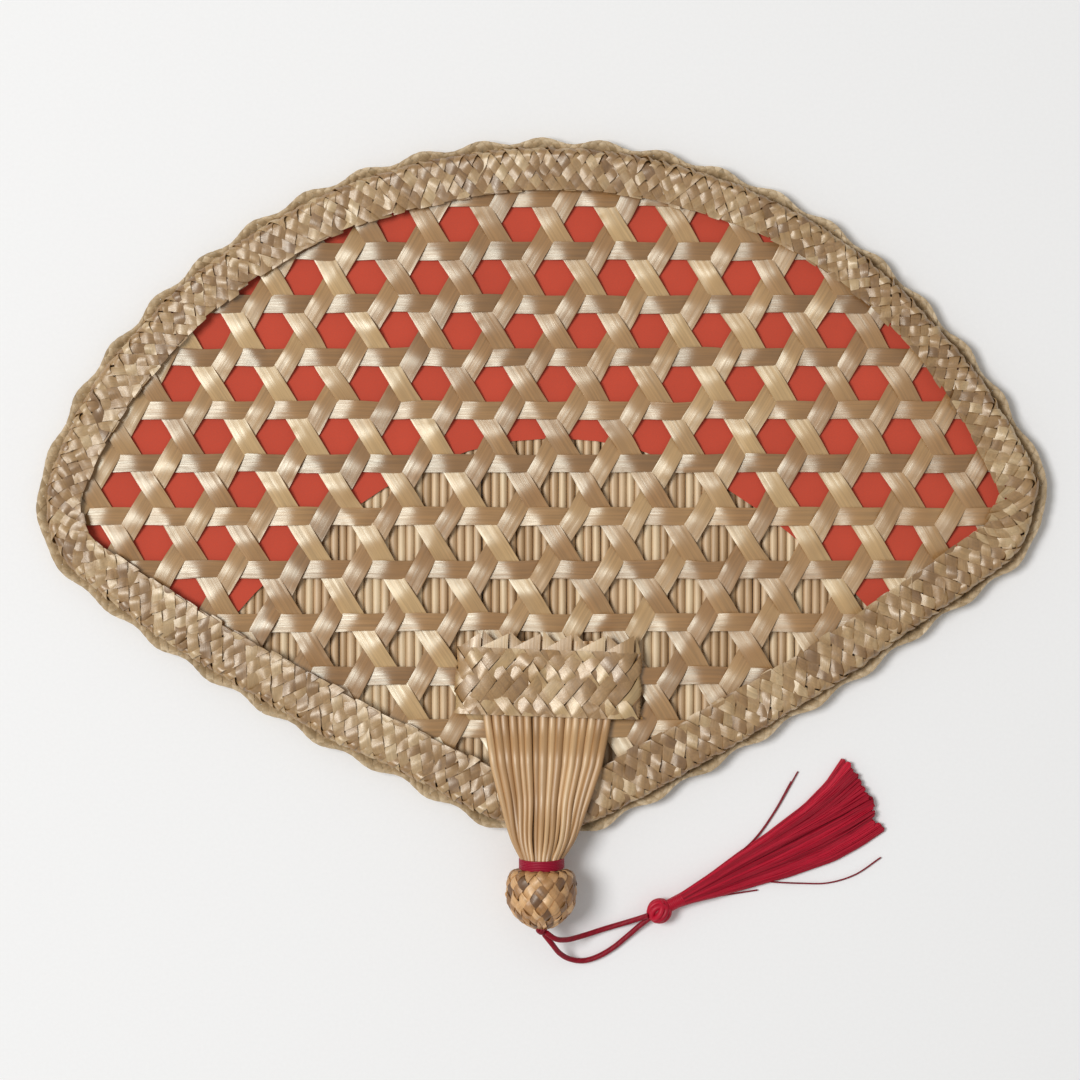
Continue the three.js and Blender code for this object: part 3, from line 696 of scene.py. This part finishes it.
def front_braid():
    rim = Rim(FRONT_WALK_INSET)
    count = round(rim.length / FRONT_STRAND_PITCH)
    pitch = rim.length / count
    roll = FRONT_ROLL_RADIUS * math.pi / 2

    def place(u, v, h):
        outer, inner = rim.stray(u)
        edge = FRONT_BRAID_INNER - FRONT_BRAID_FLAT + outer
        turn = np.clip((v - FRONT_BRAID_FLAT) / FRONT_ROLL_RADIUS, 0, math.pi / 2)
        flat = np.minimum(v / FRONT_BRAID_FLAT, 1)
        wall = np.maximum(v - FRONT_BRAID_FLAT - roll, 0)
        inset = inner + (edge - inner) * flat - (FRONT_ROLL_RADIUS + h) * np.sin(turn)
        x, y = rim.place(u, inset)
        # The wall stops higher where the middle stems pass under it.
        near_neck = smooth((NECK_GAP_HALF_WIDTH - np.abs(x)) / 6) * smooth((NECK_GAP_TOP - y) / 10)
        z = FRONT_BRAID_Z - FRONT_ROLL_RADIUS * (1 - np.cos(turn)) - wall * (1 - 0.8 * near_neck)
        z = z + h * np.cos(turn) + INNER_EDGE_LIFT * (1 - smooth(v / INNER_EDGE_REACH))
        return np.stack([x, y, z], -1)

    patches = Patches()
    plait(
        patches, place, count, pitch, FRONT_BRAID_WIDTH, [1, -1, 1, -1, 1],
        rise=0.44, tilt=0.3, cover=0.93, bulge=0.04, opening=(12.0, 0.4), ragged=0.35,
    )
    make_piece("front_braid_plait", patches, BRAID_STRAW, ["front_edging_braid"])


def rear_braid():
    rim = Rim(REAR_WALK_INSET)
    count = round(rim.length / REAR_STRAND_PITCH)
    pitch = rim.length / count

    def place(u, v, h):
        width = REAR_BRAID_INNER - rim.scallop(u) - rim.stray(u)[0]
        inset = REAR_BRAID_INNER - v / REAR_BRAID_INNER * width
        x, y = rim.place(u, inset)
        lift = REAR_EDGE_LIFT * smooth((v - REAR_LIFT_START) / REAR_LIFT_REACH)
        return np.stack([x, y, REAR_BRAID_Z + h + lift], -1)

    patches = Patches()
    plait(
        patches, place, count, pitch, REAR_BRAID_INNER, [1, -1, 1, -1, 1, -1, 1, -1, 1],
        rise=0.24, tilt=0.12, tone=(0.16, 0.14), bulge=0.04,
    )
    make_piece("rear_braid_plait", patches, REAR_STRAW, ["rear_edging_braid"])


# Hexagonal weave

FALLING = -math.atan2(ROW_PITCH, HEX_PITCH / 2 + ROW_LEAN)
RISING = math.atan2(ROW_PITCH, HEX_PITCH / 2 - ROW_LEAN)
# The last entry of each set is its range of strip tones. Tones differ at random within a range, but the
# ranges are painted light: falling strips are made paler and level strips darker, standing in for how the
# lamp's sheen catches strips of each direction.
WEAVE_SETS = [
    ("level_strip", 0.0, ROW_PITCH, LEVEL_STRIP_WIDTH, -6, 4, (0.15, 0.55)),
    ("falling_strip", FALLING, -HEX_PITCH * math.sin(FALLING), SLANTED_STRIP_WIDTH, -8, 6, (0.45, 1.0)),
    ("rising_strip", RISING, HEX_PITCH * math.sin(RISING), SLANTED_STRIP_WIDTH, -8, 6, (0.25, 0.75)),
]


def nearness(x, y, which):
    """1 on the middle of the nearest strip of a set, easing to 0 halfway to the next."""
    _, angle, spacing, *_ = WEAVE_SETS[which]
    offset = (-(x - HEX_X) * math.sin(angle) + (y - HEX_Y) * math.cos(angle)) / spacing - 0.5
    return 0.5 + 0.5 * np.cos(2 * np.pi * offset)


def weave():
    side = np.linspace(-1, 1, 12)
    reach = np.arange(-FAN_WIDTH, FAN_WIDTH, 0.6)
    bends = np.arange(-FAN_WIDTH, FAN_WIDTH + 1, HEX_PITCH / 2)
    for which, (name, angle, spacing, strip_width, first, last, tones) in enumerate(WEAVE_SETS):
        over, under = (which + 1) % 3, (which + 2) % 3
        ahead = np.array([math.cos(angle), math.sin(angle)])
        left = np.array([-ahead[1], ahead[0]])
        for row in range(first, last + 1):
            middle = np.array([HEX_X, HEX_Y]) + (row + 0.5) * spacing * left
            inset = RIM.inset_of(middle[0] + reach * ahead[0], middle[1] + reach * ahead[1])
            along = reach[inset > STRIP_END_INSET]
            roll = curve(along, bends, draw.normal(0, STRIP_ROLL, len(bends)))
            sway = curve(along, bends, draw.normal(0, STRIP_SWAY, len(bends)))
            width = strip_width * curve(along, bends, draw.normal(1, 0.025, len(bends)))
            offset = sway[:, None] + side * width[:, None] / 2
            x = middle[0] + along[:, None] * ahead[0] + offset * left[0]
            y = middle[1] + along[:, None] * ahead[1] + offset * left[1]
            level = nearness(x, y, over) - nearness(x, y, under)
            z = WEAVE_Z + STRIP_RISE * level + STRIP_CROWN * (1 - side**2)
            z = z + roll[:, None] * side * np.clip(level, 0, 1) + draw.normal(0, STRIP_FLUTE, len(side))
            upper = np.stack([x, y, z + STRIP_THICKNESS / 2], -1)
            lower = np.stack([x, y, z - STRIP_THICKNESS / 2], -1)
            fibre = np.empty((*x.shape, 3))
            fibre[..., 0] = along[:, None] - along[0] + 400 * draw.random()
            fibre[..., 1] = side * width[:, None] / 2
            # Each strip's tone is drawn within its set's range. The offset between the sets' ranges is
            # painted light.
            fibre[..., 2] = draw.uniform(*tones)
            patches = Patches()
            patches.slabs(upper[None], lower[None], fibre[None])
            node = f"{name}_{row - first + 1:02d}"
            make_piece(f"woven_{node}", patches, WEAVE_STRAW, [node], sharp=40)


# Stems

# How far the stems have drawn together on their way from the neck up to the sleeve
TAPER_PLACES = [-104.4, -102.0, -98.6, -94.0, -85.5, -75.0, -59.2]
TAPER_SHARES = [1.0, 0.885, 0.75, 0.625, 0.44, 0.21, 0.0]


def taper(y):
    return np.interp(y, TAPER_PLACES, TAPER_SHARES)


def stem_mat(side, node):
    """Stems side by side. The first few are short: they fill the wedge that the middle stems leave."""
    inner = CORE_STEM_COUNT * MAT_STEM_PITCH / 2 + 0.3
    count = math.ceil((FAN_WIDTH / 2 - inner) / MAT_STEM_PITCH)
    reach = np.arange(RIM_BOTTOM, RIM_TOP, 0.5)
    core_half = inner + (NECK_RADIUS - inner) * taper(reach)
    patches = Patches()
    for i in range(-SHORT_STEM_COUNT, count):
        x = side * (inner + (i + 0.5) * MAT_STEM_PITCH)
        free = abs(x) - MAT_STEM_PITCH / 2 > core_half - 1.8
        inside = reach[(RIM.inset_of(np.full_like(reach, x), reach) > MAT_END_INSET) & free]
        if len(inside) < 8:
            continue
        y = np.linspace(inside[-1], inside[0], 14)
        phase = draw.random(2) * 2 * np.pi
        sway = 0.08 * np.sin(y / 23 + phase[0])
        z = MAT_Z + 0.06 * np.sin(y / 31 + phase[1]) - (SHORT_STEM_DROP if i < 0 else 0)
        path = np.stack([x + sway, y, z], -1)
        radius = MAT_STEM_RADIUS + draw.normal(0, 0.05) + 0.03 * np.sin(y / 37 + phase[1])
        radii = np.broadcast_to(radius, (1, len(y)))
        patches.tubes(path[None], radii, 12, UP, draw.uniform(0.1, 1, 1), MAT_STEM_FLATNESS)
    name = "mat_stems_left" if side < 0 else "mat_stems_right"
    make_piece(name, patches, STEM_STRAW, [node])


def stem_row(count, flat_half, lean, flat_height, half_disc, upper, ys):
    """Paths and radii of stems that lie side by side and draw together into one half of the neck's disc.
    upper says which stems rise over their neighbours as they crowd."""
    i = ((np.arange(count) + 0.5) / count)[:, None]
    y = np.broadcast_to(ys, (count, len(ys)))
    above = np.where(upper, 1.0, 0.0)[:, None]
    pull = taper(y)
    bundled = smooth((BUNDLE_START - y) / BUNDLE_REACH)
    radius = flat_half / count * (1 - 0.45 * smooth(pull * 1.15))
    half = flat_half + (NECK_RADIUS - flat_half) * pull - radius
    level = (2 * i - 1) / (1 - 1 / count)
    rounded = -np.cos(np.pi * i) * (0.88 + 0.12 * above)
    x = lean * (1 - pull) + half * (level + (rounded - level) * bundled)
    arch = KNOB_AXIS_Z + half_disc * (0.4 + (NECK_RADIUS - 2.0 + 0.7 * above) * np.sin(np.pi * i))
    z = flat_height(y) + (arch - flat_height(y)) * bundled
    crowding = (0.9 * above - 0.45) * smooth(pull * 1.7) * (1 - bundled)
    return np.stack([x, y, z + half_disc * crowding], -1), radius


def stem_places(top, flat_steps, taper_steps):
    """Heights up the fan where a stem has a ring, closer together where it draws in."""
    flat = np.linspace(top, STEMS_FLAT_TO, flat_steps)
    return np.concatenate([flat, np.linspace(STEMS_TAPER_FROM, STEMS_END, taper_steps)])


def handle_height(y):
    """The row lies on the weave and climbs over the lower edging on its way to the neck."""
    return HANDLE_Z + HANDLE_RISE * smooth((HANDLE_RISE_START - y) / HANDLE_RISE_REACH)


def handle_stems():
    ys = stem_places(HANDLE_TOP, 8, 34)
    upper = np.array([1, 1, 0, 1, 1, 1, 0, 1, 1, 1, 0, 1, 1, 0, 1, 1], bool)
    paths, radii = stem_row(
        HANDLE_STEM_COUNT, HANDLE_HALF_WIDTH, HANDLE_LEAN, handle_height, 1, upper, ys,
    )
    paths[..., 0] += draw.normal(0, 0.22, (HANDLE_STEM_COUNT, 1)) * (1 - taper(ys))
    paths[..., 2] += draw.normal(0, 0.14, (HANDLE_STEM_COUNT, 1)) * (1 - taper(ys))
    radii = radii * (1 + draw.normal(0.05, 0.07, (HANDLE_STEM_COUNT, 1)))
    patches = Patches()
    patches.tubes(paths, radii, 14, UP, draw.uniform(0.1, 0.95, HANDLE_STEM_COUNT))
    make_piece("handle_stem_row", patches, HANDLE_STRAW, ["handle_stems"])


def core_stems():
    ys = stem_places(CORE_TOP, 30, 30)
    half = CORE_STEM_COUNT * MAT_STEM_PITCH / 2
    upper = np.arange(CORE_STEM_COUNT) % 2 == 0
    paths, radii = stem_row(CORE_STEM_COUNT, half, 0.0, lambda y: np.full_like(y, MAT_Z), -1, upper, ys)
    paths[..., 0] += 0.08 * np.sin(ys / 23 + draw.random((CORE_STEM_COUNT, 1)) * 6)
    patches = Patches()
    patches.tubes(paths, radii, 12, UP, draw.uniform(0.15, 1, CORE_STEM_COUNT))
    make_piece("core_stem_row", patches, STEM_STRAW, ["core_stems"])


# Sleeve

SLEEVE_STRAND_COUNT = 14
SLEEVE_PLAIT_WIDTH = 21.2
# Half of the sleeve's section, from its middle out and round under its edge
SLEEVE_SECTION = [
    (0, 12.5), (12, 12.5), (23.5, 12.4), (27, 11.5),
    (29.2, 10.1), (29.4, 9.3), (28.2, 8.95), (22, 8.95),
]
SLEEVE_SIDE = 29
TIP_ROWS = 6
TIP_COLUMNS = 7
SLEEVE_TIP_PLACES = [-21.9, -13.2, -2.7, 7.1, 17.8, 27.1]


def sleeve_put(x, y, z):
    """From the sleeve's own frame, whose foot is at y 0, to the fan's."""
    cos, sin = math.cos(SLEEVE_TILT), math.sin(SLEEVE_TILT)
    y = y - SLEEVE_HEIGHT / 2
    fan_x = HANDLE_LEAN + x * cos - y * sin
    fan_y = SLEEVE_BOTTOM + SLEEVE_HEIGHT / 2 + x * sin + y * cos
    return np.stack([fan_x, fan_y, z], -1)


def sleeve():
    points = [(-x, 0, z) for x, z in SLEEVE_SECTION[:0:-1]] + [(x, 0, z) for x, z in SLEEVE_SECTION]
    profile = catmull_rom(points, 16)[:, [0, 2]]
    run = run_along(profile)
    direction = np.gradient(profile, run, axis=0)

    def place(u, v, h):
        x = np.interp(u, run, profile[:, 0]) - h * np.interp(u, run, direction[:, 1])
        z = np.interp(u, run, profile[:, 1]) + h * np.interp(u, run, direction[:, 0])
        return sleeve_put(x, v, z)

    patches = Patches()
    pitch = run[-1] / SLEEVE_STRAND_COUNT
    plait(
        patches, place, SLEEVE_STRAND_COUNT, pitch, SLEEVE_PLAIT_WIDTH, [-1, 1, 1, -1, 1],
        tilt=0.34, tone=(0.24, 0.14), bulge=0.04, facing=(-0.1, 0.3), crest=(0.0, 0.35),
    )
    sleeve_tips(patches)
    make_piece("sleeve_plait", patches, SLEEVE_STRAW, ["handle_sleeve"])


def sleeve_tips(patches):
    """Folded strips stand in a saw-toothed row along the sleeve's top. The front ones rise to the right."""
    share = np.linspace(0.05, 1, TIP_COLUMNS)
    up = np.linspace(0, 1, TIP_ROWS)[:, None]
    for right in SLEEVE_TIP_PLACES:
        for front in (True, False):
            length = 9.8 if front else 7.4
            height = 5.4 + draw.normal(0, 0.25) if front else 5.6 + draw.normal(0, 0.4)
            foot = SLEEVE_PLAIT_WIDTH - (0.3 if front else 0.0)
            length = min(length, SLEEVE_SIDE + right if front else SLEEVE_SIDE - right)
            x = right - length * (1 - share) if front else right + 0.5 + length * (1 - share)
            x = np.broadcast_to(x, (TIP_ROWS, TIP_COLUMNS)) + draw.normal(0, 0.15)
            y = foot + height * share * up - (0 if front else 0.8) * (1 - share)
            lift = (0.55 if front else 0.1) * share + 0.25 * np.sin(np.pi * share) * (1 - up)
            surface = np.interp(np.abs(x), [0, 24, 29.5], [12.3, 12.2, 10.2])
            z = surface - (0.2 if front else 0.85) + lift
            fibre = np.empty((TIP_ROWS, TIP_COLUMNS, 3))
            fibre[..., 0] = up * height + 200 * draw.random()
            fibre[..., 1] = length * share
            fibre[..., 2] = draw.uniform(0.45, 0.9) if front else draw.uniform(0.2, 1.0)
            upper = sleeve_put(x, y, z)
            lower = sleeve_put(x, y, z - 0.35)
            patches.slabs(upper[None], lower[None], fibre[None])


# Neck and knob

def neck_binding():
    """A thread wound round the neck, a little lower in front than behind."""
    t = np.linspace(0, 2 * np.pi * NECK_BINDING_TURNS, NECK_BINDING_TURNS * STEPS_PER_TURN)
    height = NECK_BINDING_TOP - NECK_BINDING_FOOT
    y = NECK_BINDING_FOOT + height * t / t[-1] + NECK_BINDING_SAG * np.cos(t)
    x = -NECK_BINDING_RADIUS * np.sin(t)
    z = KNOB_AXIS_Z - NECK_BINDING_RADIUS * np.cos(t)
    patches = Patches()
    patches.thread(np.stack([x, y, z], -1), THREAD_RADIUS, 8, (0, 1, 0), 0.5)
    make_piece("neck_thread", patches, THREAD_RED, ["neck_binding"])


KNOB_STRAND_COUNT = 16
# Radius of the knob and its place along the fan, from its foot to its top
KNOB_PROFILE = [
    (2.0, -126.7),
    (4.0, -125.9),
    (6.8, -123.9),
    (9.1, -121.7),
    (10.4, -119.2),
    (10.7, -115.5),
    (10.7, -111.9),
    (10.0, -109.7),
    (8.7, -108.7),
    (7.0, -108.5),
]


def knob_profile():
    return catmull_rom([(r, y, 0) for r, y in KNOB_PROFILE], 10)[:, :2]


def knob_core():
    """The folded stem ends that the plait covers."""
    r, y = knob_profile().T
    path = np.stack([np.zeros_like(y), y, np.full_like(y, KNOB_AXIS_Z)], -1)
    patches = Patches()
    patches.tubes(path[None], r[None] - 0.8, 40, UP, [0.2])
    make_piece("knob_folded_stems", patches, KNOB_STRAW, ["knob_core"])


def knob():
    profile = knob_profile()
    run = run_along(profile)
    ahead = np.gradient(profile, run, axis=0)
    widest = profile[:, 0].max()
    pitch = 2 * math.pi * widest / KNOB_STRAND_COUNT

    def place(u, v, h):
        angle = u / widest
        r = np.interp(v, run, profile[:, 0]) + h * np.interp(v, run, ahead[:, 1])
        y = np.interp(v, run, profile[:, 1]) - h * np.interp(v, run, ahead[:, 0])
        return np.stack([r * np.sin(angle), y, KNOB_AXIS_Z + r * np.cos(angle)], -1)

    patches = Patches()
    over = [-1, 1, -1, 1, -1, 1, -1, 1]
    plait(
        patches, place, KNOB_STRAND_COUNT, pitch, run[-1], over,
        rise=0.5, tilt=0.18, cover=0.9, tone=(0.28, 0.16),
    )
    make_piece("knob_ball_plait", patches, KNOB_STRAW, ["knob_plait"])


# Cord and tassel

def twisted(path, radius, plies, lay):
    """Paths of plies twisted round a path, one turn in each lay."""
    side, up = across_path(path, UP)
    angle = 2 * np.pi * (run_along(path) / lay + np.arange(plies)[:, None] / plies)
    return path + radius * (np.cos(angle)[..., None] * side + np.sin(angle)[..., None] * up)


def cord_strand(name, points, node):
    path = catmull_rom(points, 16)
    diameter = CORD_DIAMETER / MM
    plies = twisted(path / MM, 0.2 * diameter, CORD_PLIES, CORD_LAY)
    tones = 0.12 + 0.1 * np.arange(CORD_PLIES) % 0.3
    patches = Patches()
    patches.tubes(plies, np.full(plies.shape[:2], 0.3 * diameter), 10, UP, tones)
    piece = make_piece(name, patches, SILK_RED, [node], sharp=80)
    length = np.linalg.norm(np.diff(path, axis=0), axis=1).sum()
    return piece, path, length


def turned(tilt, swing):
    """The matrix that tilts a ring about x and then swings it about z."""
    cos, sin = math.cos(tilt), math.sin(tilt)
    turn_x = np.array([[1, 0, 0], [0, cos, -sin], [0, sin, cos]])
    cos, sin = math.cos(swing), math.sin(swing)
    turn_z = np.array([[cos, -sin, 0], [sin, cos, 0], [0, 0, 1]])
    return turn_z @ turn_x


def wound_ball(name, centre, radius, thread, node, tones, longer=1.0, flat=1.0):
    """A knot: turns of cord round a ball, some one way and some across them. longer draws it out along the
    tassel, and flat presses it down."""
    patches = Patches()
    middle = np.array(centre) / MM
    reach = radius - thread
    t = np.linspace(0, 2 * np.pi, 49)
    for tilt, swing, offsets in ((0.5, 0.3, (-0.55, 0.0, 0.55)), (-0.9, 1.2, (-0.5, 0.0, 0.5))):
        turn = turned(tilt, swing)
        for offset in offsets:
            r = reach * math.sqrt(1 - offset**2)
            ring = np.stack([r * np.cos(t), r * np.sin(t), np.full_like(t, offset * reach)], -1)
            ring = ring @ turn.T
            ring = ring + (longer - 1) * np.outer(ring @ TASSEL_AHEAD, TASSEL_AHEAD)
            ring[:, 2] *= flat
            axis = turn @ np.array([0, 0, 1.0])
            patches.thread(middle + ring, thread, 8, axis, draw.uniform(*tones))
    lat = np.linspace(-1.45, 1.45, 10)
    core = np.stack([np.zeros_like(lat), np.zeros_like(lat), np.sin(lat) * reach * flat], -1)
    patches.tubes((core + middle)[None], (reach * np.cos(lat))[None], 16, (1, 0, 0), [0.3])
    return make_piece(name, patches, SILK_RED, [node], sharp=80)


def tassel_place(along, lateral, z):
    cos, sin = math.cos(TASSEL_ANGLE), math.sin(TASSEL_ANGLE)
    x = TASSEL_KNOT[0] / MM + along * cos - lateral * sin
    y = TASSEL_KNOT[1] / MM + along * sin + lateral * cos
    return np.stack([x, y, z], -1)


BINDING_TURNS = 10
BINDING_START = 3.2
BINDING_LENGTH = 5.6
BINDING_RADIUS = 1.75


def tassel_binding():
    t = np.linspace(0, 2 * np.pi * BINDING_TURNS, BINDING_TURNS * STEPS_PER_TURN)
    along = BINDING_START + BINDING_LENGTH * t / t[-1]
    height = TASSEL_KNOT[2] / MM + BINDING_RADIUS * np.sin(t)
    patches = Patches()
    path = tassel_place(along, BINDING_RADIUS * np.cos(t), height)
    patches.thread(path, THREAD_RADIUS, 8, TASSEL_AHEAD, 0.7)
    return make_piece("tassel_neck_thread", patches, SILK_RED, ["tassel_binding"])


STRAND_COUNT = 620
STRAND_RINGS = 30
SKIRT_START = 3.8
SKIRT_NECK_Z = 3.7
SKIRT_NECK_RADIUS = 1.7
SKIRT_SWELL = 4.4
SKIRT_THINNING = 2.2
STRAND_REST = 0.45
STRAY_RADIUS = 0.28
# Half widths of the skirt's two sides at reaches along it, and how far its ends reach from side to side
SKIRT_REACH = [SKIRT_START, 10.0, 20.0, 31.0, 42.0, 57.0, 67.0, 77.0]
SKIRT_UPPER = [1.5, 2.0, 2.8, 4.3, 5.4, 8.0, 11.3, 16.5]
SKIRT_LOWER = [1.5, 2.5, 5.2, 7.7, 10.3, 12.4, 12.2, 11.2]
SKIRT_END_PLACES = [-1.0, -0.9, -0.76, -0.58, -0.42, -0.27, 0.38, 1.0]
SKIRT_END_REACH = [75.2, 76.2, 75.6, 73.4, 76.2, 77.0, 76.8, 75.6]
LOCK_COUNT = 15


def skirt_sides(along, spread):
    """How far to the side strands lie, before they sway."""
    upper = np.interp(along, SKIRT_REACH, SKIRT_UPPER)
    lower = np.interp(along, SKIRT_REACH, SKIRT_LOWER)
    return np.where(spread > 0, upper, lower) * spread


def skirt_heights(along, share, spread, layer, lock_height):
    """Heights of strands that leave a round neck and come to lie on the floor."""
    swell = np.sqrt(np.clip(1.04 - spread**2, 0, 1))
    neck = SKIRT_NECK_Z + SKIRT_NECK_RADIUS * swell * (2 * layer - 1)
    lying = STRAND_REST + (SKIRT_SWELL - SKIRT_THINNING * share + lock_height * share) * swell * layer
    return neck + (lying - neck) * smooth((along - 6) / 26)


def tassel_skirt():
    """Fine strands in locks. A lock's strands share their length, their sway and most of their tone.
    Strands toward the upper side are painted lighter and those toward the lower side darker: painted light
    and painted shade.
    """
    share = np.linspace(0, 1, STRAND_RINGS)
    spread = np.sort(draw.uniform(-1, 1, STRAND_COUNT))
    lock = np.clip(((spread + 1) / 2 * LOCK_COUNT).astype(int), 0, LOCK_COUNT - 1)
    lock_middle = (np.arange(LOCK_COUNT) + 0.5) / LOCK_COUNT * 2 - 1
    lock_end = np.interp(lock_middle, SKIRT_END_PLACES, SKIRT_END_REACH)
    lock_end = lock_end + draw.normal(0, 0.35, LOCK_COUNT)
    lock_sway = draw.normal(0, 1.0, LOCK_COUNT)
    lock_phase = draw.random(LOCK_COUNT) * 2 * np.pi
    lock_tone = draw.normal(0, 0.2, LOCK_COUNT)
    lock_height = draw.normal(0, 0.5, LOCK_COUNT)
    in_lock = (spread - lock_middle[lock]) * LOCK_COUNT
    end = lock_end[lock] - 0.9 * in_lock**2 + draw.normal(0, 0.12, STRAND_COUNT)
    along = SKIRT_START + (end[:, None] - SKIRT_START) * share
    lateral = skirt_sides(along, spread[:, None])
    phase = draw.random((STRAND_COUNT, 2)) * 2 * np.pi
    middle = 1 - np.abs(spread[:, None])
    swing = np.sin(along / 16 + lock_phase[lock][:, None])
    lateral = lateral + 0.8 * middle * share * lock_sway[lock][:, None] * swing
    lateral = lateral + 0.25 * share * np.sin(along / 9 + phase[:, :1])
    layer = np.sqrt(draw.random(STRAND_COUNT))[:, None]
    z = skirt_heights(along, share, spread[:, None], layer, lock_height[lock][:, None])
    z = z + 0.12 * share * np.sin(along / 7 + phase[:, 1:])
    radii = np.tile(0.16 + 0.09 * smooth(share * 2.2), (STRAND_COUNT, 1))
    # 0.3 * spread is painted light: a lighter tone on the upper side of the skirt, toward the lamp, and
    #                                painted shade on the lower side. The lock and strand terms are random
    #                                tone.
    tones = np.clip(0.5 + 0.3 * spread + lock_tone[lock] + draw.normal(0, 0.1, STRAND_COUNT), 0, 1)
    patches = Patches()
    paths = tassel_place(along, lateral, np.maximum(z, 0.4))
    patches.tubes(paths, radii, 5, UP, tones)
    stray_strands(patches)
    make_piece("tassel_strands", patches, SILK_RED, ["tassel_skirt"], sharp=80)


def stray_strands(patches):
    """A few strands that have left the skirt and lie on the floor beside it."""
    routes = [
        [(26, 3.0), (38.5, 5.9), (47.8, 10.4), (60.4, 18.4)],
        [(22, 2.6), (37, 5.5), (46.5, 9.9), (57, 16.6)],
        [(36, -8.8), (44, -13.6), (52, -17.8), (61, -19.6), (71, -18.6)],
        [(10, -2.0), (20, -5.4), (31, -9.2)],
    ]
    for route in routes:
        flat = catmull_rom([(a, b, 0.0) for a, b in route], 12)
        z = STRAND_REST + 1.2 * (1 - smooth(np.linspace(0, 2, len(flat))))
        patches.thread(tassel_place(flat[:, 0], flat[:, 1], z), STRAY_RADIUS, 5, UP, 0.1)


# Stage

def add_camera():
    """A camera straight above. At the height of the fan's face it frames what the photograph frames."""
    lens = bpy.data.cameras.new("camera")
    lens.sensor_width = SENSOR_WIDTH
    lens.lens = SENSOR_WIDTH * (CAMERA_HEIGHT - FACE_LEVEL * MM) / (PHOTO_WIDTH * MM)
    camera = add_object("camera", lens)
    camera.location = (PHOTO_CENTRE[0] * MM, PHOTO_CENTRE[1] * MM, CAMERA_HEIGHT)
    bpy.context.scene.camera = camera
    bpy.context.scene.view_settings.view_transform = "Standard"


def add_room_light():
    world = bpy.data.worlds.new("soft_room")
    world.use_nodes = True
    background = world.node_tree.nodes["Background"]
    background.inputs["Color"].default_value = ROOM_COLOUR
    background.inputs["Strength"].default_value = ROOM_STRENGTH
    bpy.context.scene.world = world


def add_lamp():
    """A large lamp to the left that looks at the middle of the fan."""
    lamp = bpy.data.lights.new("window_light", "AREA")
    lamp.shape = "DISK"
    lamp.size = LAMP_SIZE
    lamp.energy = LAMP_POWER
    holder = add_object("window_light", lamp)
    holder.location = LAMP_PLACE
    aim = -unit(np.array(LAMP_PLACE))
    holder.rotation_euler = (math.acos(-aim[2]), 0.0, math.atan2(aim[1], aim[0]) - math.pi / 2)


def floor_paint():
    nodes = Nodes("pale_floor")
    place = nodes.add("ShaderNodeTexCoord").outputs["Object"]
    mottle = nodes.between(nodes.grain(place, (900.0,) * 3), 0.985, 1.0)
    return nodes.finish(
        Base_Color=nodes.shade(nodes.ramp(mottle, [(0.0, "f4f4f4"), (1.0, "f6f6f6")]), mottle),
        Roughness=0.9,
    )


def add_floor():
    mesh = bpy.data.meshes.new("floor")
    corners = [(x * FLOOR_REACH, y * FLOOR_REACH, 0) for x, y in ((-1, -1), (1, -1), (1, 1), (-1, 1))]
    mesh.from_pydata(corners, [], [(0, 1, 2, 3)])
    mesh.materials.append(floor_paint())
    floor = add_object("floor", mesh)
    floor.location.z = -FLOOR_DROP


add_camera()
add_room_light()
add_lamp()
add_floor()

knot = wound_ball(
    "tassel_wound_knot", TASSEL_KNOT, TASSEL_KNOT_RADIUS, TASSEL_KNOT_CORD, "tassel_knot", (0.4, 0.9),
    TASSEL_KNOT_LONGER, TASSEL_KNOT_FLAT,
)
binding = tassel_binding()
upper_cord, upper_path, upper_length = cord_strand("upper_cord", UPPER_STRAND, "cord_upper_strand")
lower_cord, lower_path, lower_length = cord_strand("lower_cord", LOWER_STRAND, "cord_lower_strand")
wound_ball(
    "stop_knot_turns", STOP_KNOT, STOP_KNOT_RADIUS, STOP_KNOT_CORD, "cord_stop_knot", (0.0, 0.2),
)
tassel_skirt()

rear_braid()
stem_mat(-1, "stem_mat_left")
stem_mat(1, "stem_mat_right")
core_stems()
weave()
front_braid()
handle_stems()
sleeve()
neck_binding()
knob_core()
knob()

frame["nodes"]["red_card"].data.materials[0] = CARD_RED
